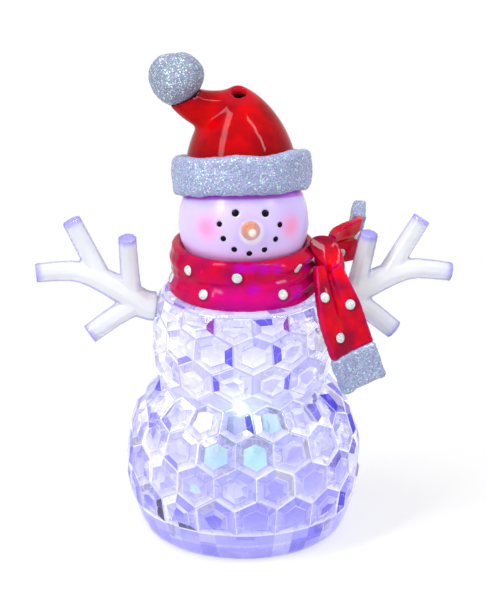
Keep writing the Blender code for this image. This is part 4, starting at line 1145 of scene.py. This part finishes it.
def add_dot(bm, tree, place, radius):
    """A thin domed disc of paint on the surface, at the nearest point to a place."""
    above, reach = 1.5 * MM, 4 * MM
    spot, normal, _, _ = tree.find_nearest(place)
    turn = normal.to_track_quat("Z", "Y").to_matrix()
    rings = []
    for share, lift in ((1.0, -0.2), (1.0, 0.02), (0.93, 0.12), (0.6, 0.17), (0.3, 0.18)):
        ring = []
        for i in range(DOT_SIDES):
            a = 2 * pi * i / DOT_SIDES
            start = spot + turn @ Vector((share * radius * cos(a), share * radius * sin(a), above))
            hit = tree.ray_cast(start, -normal, reach)[0] or start - normal * above
            ring.append(bm.verts.new(hit + normal * lift * MM))
        rings.append(ring)
    join_rings(bm, rings, DOT_SIDES)
    bm.faces.new(rings[-1])
    bm.faces.new(reversed(rings[0]))
    return spot


def pleat(bm):
    """Soft folds along the collar that deepen towards the knot."""
    knot_turn = turn_of(KNOT_CENTRE)
    for v in bm.verts:
        out = Vector((v.co.x, v.co.y, 0))
        if out.length < COLLAR_INSIDE:
            continue
        turn = turn_of(v.co)
        near = exp(-((turn - knot_turn) / 0.75) ** 2)
        lift = v.co.z - COLLAR_MIDDLE - 0.0022 * near * sin(turn * 2)
        wave = sin(lift * (1250 + 500 * near) + 2.2 * sin(turn * 1.5 + 0.6))
        v.co += out.normalized() * wave * (0.16 + 0.4 * near) * MM


def hug_head(bm):
    """Draws the collar's upper lip in to the head."""
    for v in bm.verts:
        away = v.co - HEAD_CENTRE
        over = away.length - HEAD_RADIUS
        if v.co.z > LIP_HEIGHT and 0 < over < LIP_REACH:
            v.co -= away.normalized() * over * (1 - over / LIP_REACH)


def droop(bm):
    """Lets the rear tail sink along its length, and narrows its far end."""
    start, length = -0.004, 0.018
    for v in bm.verts:
        share = clamped((v.co.y - start) / length)
        share *= share * (3 - 2 * share)
        v.co.z -= share * (TAIL_SINK + TAIL_NARROWING * (v.co.z - TAIL_FOOT))


def fold_knot(bm):
    """Presses the knot's front into a slanting plane, with folds towards the front tail."""
    facing = Vector((0.2, -0.715, 0.67)).normalized()
    root = KNOT_CENTRE + Vector((-0.0007, -0.0034, -0.006))
    for v in bm.verts:
        lift = v.co.z - KNOT_CENTRE.z
        v.co.x -= 0.3 * lift
        v.co.z += 0.12 * min(0.0, lift)
        proud = (v.co - KNOT_CENTRE).dot(facing) - 2.2 * MM
        if proud > 0:
            v.co -= facing * proud * 0.93
        away = v.co - root
        turn = atan2(away.x * 0.95 - away.y * 0.3, max(away.z, 0.0) + 0.001)
        fold = max(0.0, sin(turn * 5.0 + 0.7)) ** 3
        share = clamped((0.0125 - away.length) / 0.006)
        v.co -= (v.co - KNOT_CENTRE).normalized() * fold * share * 0.9 * MM


def make_scarf():
    """The red collar, knot and tails with their dots, and the glitter hems."""
    dots = bmesh.new()
    shapes, spots = {}, {}
    folds = {"scarf_collar": (pleat, hug_head), "scarf_knot": (fold_knot,), "scarf_rear_tail": (droop,)}
    for node in ("scarf_collar", "scarf_knot", "scarf_front_tail", "scarf_rear_tail"):
        bm = shapes[node] = remeshed(welded_copy(node), smoothing=4)
        for fold in folds.get(node, ()):
            fold(bm)
        tree = BVHTree.FromBMesh(bm)
        places = SCARF_DOTS.get(node, ())
        spots[node] = [add_dot(dots, tree, Vector(place), DOT_RADIUS) for place in places]
    # The collar and tails glow with painted lamp light
    collar_red = red_acrylic(
        "red_collar", rgb(208, 0, 50), rgb(150, 0, 76), rgb(220, 0, 80), 0.06, rgb(90, 0, 30),
        light=collar_light, dots=spots["scarf_collar"],
    )
    tail_red = red_acrylic(
        "red_tails", rgb(226, 0, 14), rgb(136, 0, 44), rgb(176, 0, 124), 0.08, rgb(150, 0, 14),
        dots=spots["scarf_front_tail"] + spots["scarf_rear_tail"],
    )
    for node, bm in shapes.items():
        red = collar_red if node == "scarf_collar" else tail_red
        make_piece(node + "_red", bm, red, "red_acrylic", node)
    bmesh.ops.recalc_face_normals(dots, faces=dots.faces)
    make_piece("scarf_dots", dots, dot_paint("dot_paint"), "silver_glitter")
    for node, seed in (("front_tail_hem", 5.0), ("rear_tail_hem", 8.0)):
        bm = remeshed(welded_copy(node), smoothing=3)
        if node == "rear_tail_hem":
            droop(bm)
        make_trim(node, bm, GLITTER, seed, (0.3 * MM, 400.0), (0.1 * MM, 1300.0))


# Stage

def make_floor():
    """A plain floor that is seen as white away from the figure's foot."""
    bm = bmesh.new()
    bmesh.ops.create_grid(bm, x_segments=8, y_segments=8, size=4.0)
    plane = mesh_object("floor", bm)
    material, tree, shader = new_material("floor_white")
    feed(tree, shader, {"Base Color": (0.9, 0.9, 0.91, 1.0), "Roughness": 0.9, "Specular IOR Level": 0.0})
    away = vector_node(tree, "LENGTH", place_of(tree)).outputs["Value"]
    pale = remap(tree, away, 0.045, 0.11, low=0.55, smooth=True)
    white = add(tree, "Emission", {"Color": WHITE, "Strength": 1.0})
    share = math_node(tree, "MULTIPLY", pale, seen_ray(tree))
    mixed = add(tree, "MixShader", {0: share, 1: shader.outputs[0], 2: white.outputs[0]})
    tree.links.new(mixed.outputs[0], tree.nodes["Material Output"].inputs["Surface"])
    plane.data.materials.append(material)


def make_world():
    """A white backdrop that casts less light than it shows."""
    world = bpy.data.worlds.new("studio")
    bpy.context.scene.world = world
    world.use_nodes = True
    tree = world.node_tree
    strength = remap(tree, seen_ray(tree), low=0.55)
    feed(tree, tree.nodes["Background"], {"Color": WHITE, "Strength": strength})


def aim(obj, target, back, distance, roll=0.0):
    """Puts a lamp or the camera at a distance back from a target that it looks at."""
    obj.location = target + back * distance
    spin = Quaternion((0, 0, 1), radians(roll))
    obj.rotation_euler = (back.to_track_quat("Z", "Y") @ spin).to_euler()


def make_lamp(name, direction, size, roll, radiance):
    """A soft rectangular lamp that looks at the figure."""
    target, distance = Vector((0, 0, 0.1)), 0.8
    light = bpy.data.lights.new(name, "AREA")
    light.shape = "RECTANGLE"
    light.size, light.size_y = size
    light.energy = radiance * pi * size[0] * size[1]
    lamp = linked_object(name, light)
    aim(lamp, target, Vector(direction).normalized(), distance, roll)


def make_camera():
    """The photo's view, from a little to one side and above."""
    target, distance = Vector((0, 0, 0.072)), 0.75
    data = bpy.data.cameras.new("camera")
    data.lens = 150.0
    data.sensor_width = 36.0
    camera = linked_object("camera", data)
    azimuth = radians(-6)
    elevation = radians(20)
    back = round_axis(cos(elevation), azimuth, sin(elevation))
    aim(camera, target, back, distance)
    bpy.context.scene.camera = camera


# Finishes of the CAD nodes

STEEL_NODES = [f"{part}_{i}" for part in ("base_screw", "battery_cell") for i in (1, 2, 3)] + [
    "door_screw", "contact_plate", "contact_spring", "switch_housing", "led_lead_plus", "led_lead_minus",
]


def finish_nodes():
    lamp = moulded(
        "lamp_epoxy", rgb(235, 245, 255), 0.1, Emission_Color=rgb(190, 245, 255), Emission_Strength=8.0,
    )
    finishes = {
        moulded("white_base", rgb(226, 226, 224), 0.42): ("base_plate", "battery_door", "led_spacer"),
        moulded("plated_steel", rgb(196, 196, 200), 0.24, 1.0, grain=1600.0): STEEL_NODES,
        moulded("black_switch", rgb(26, 26, 28), 0.45): ("switch_slider", "wire_minus"),
        moulded("circuit_board", rgb(22, 110, 62), 0.35): ("circuit_board",),
        moulded("resistor_tan", rgb(205, 178, 132), 0.5): ("resistor",),
        moulded("red_sleeve", rgb(190, 22, 24)): ("wire_plus",),
        moulded("yellow_sleeve", rgb(222, 186, 40)): ("wire_switched",),
        lamp: ("led_lamp",),
    }
    for material, nodes in finishes.items():
        for node in nodes:
            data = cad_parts[node].data
            data.materials.clear()
            data.materials.append(material)


GLITTER = glitter("silver_glitter", rgb(139, 146, 184), rgb(149, 157, 193))
POMPOM_GLITTER = glitter("pompom_glitter", rgb(114, 121, 142), rgb(132, 139, 160))
make_camera()
make_floor()
make_world()
make_lamp("softbox_left", (-0.565, -0.27, 0.78), (0.17, 0.75), roll=22, radiance=16.0)
make_lamp("softbox_right", (0.5, -0.3, 0.8), (0.07, 0.6), roll=0, radiance=24.0)
make_body()
make_arms()
make_head()
make_face()
make_hat()
make_scarf()
finish_nodes()

bpy.context.scene.view_settings.view_transform = "Standard"
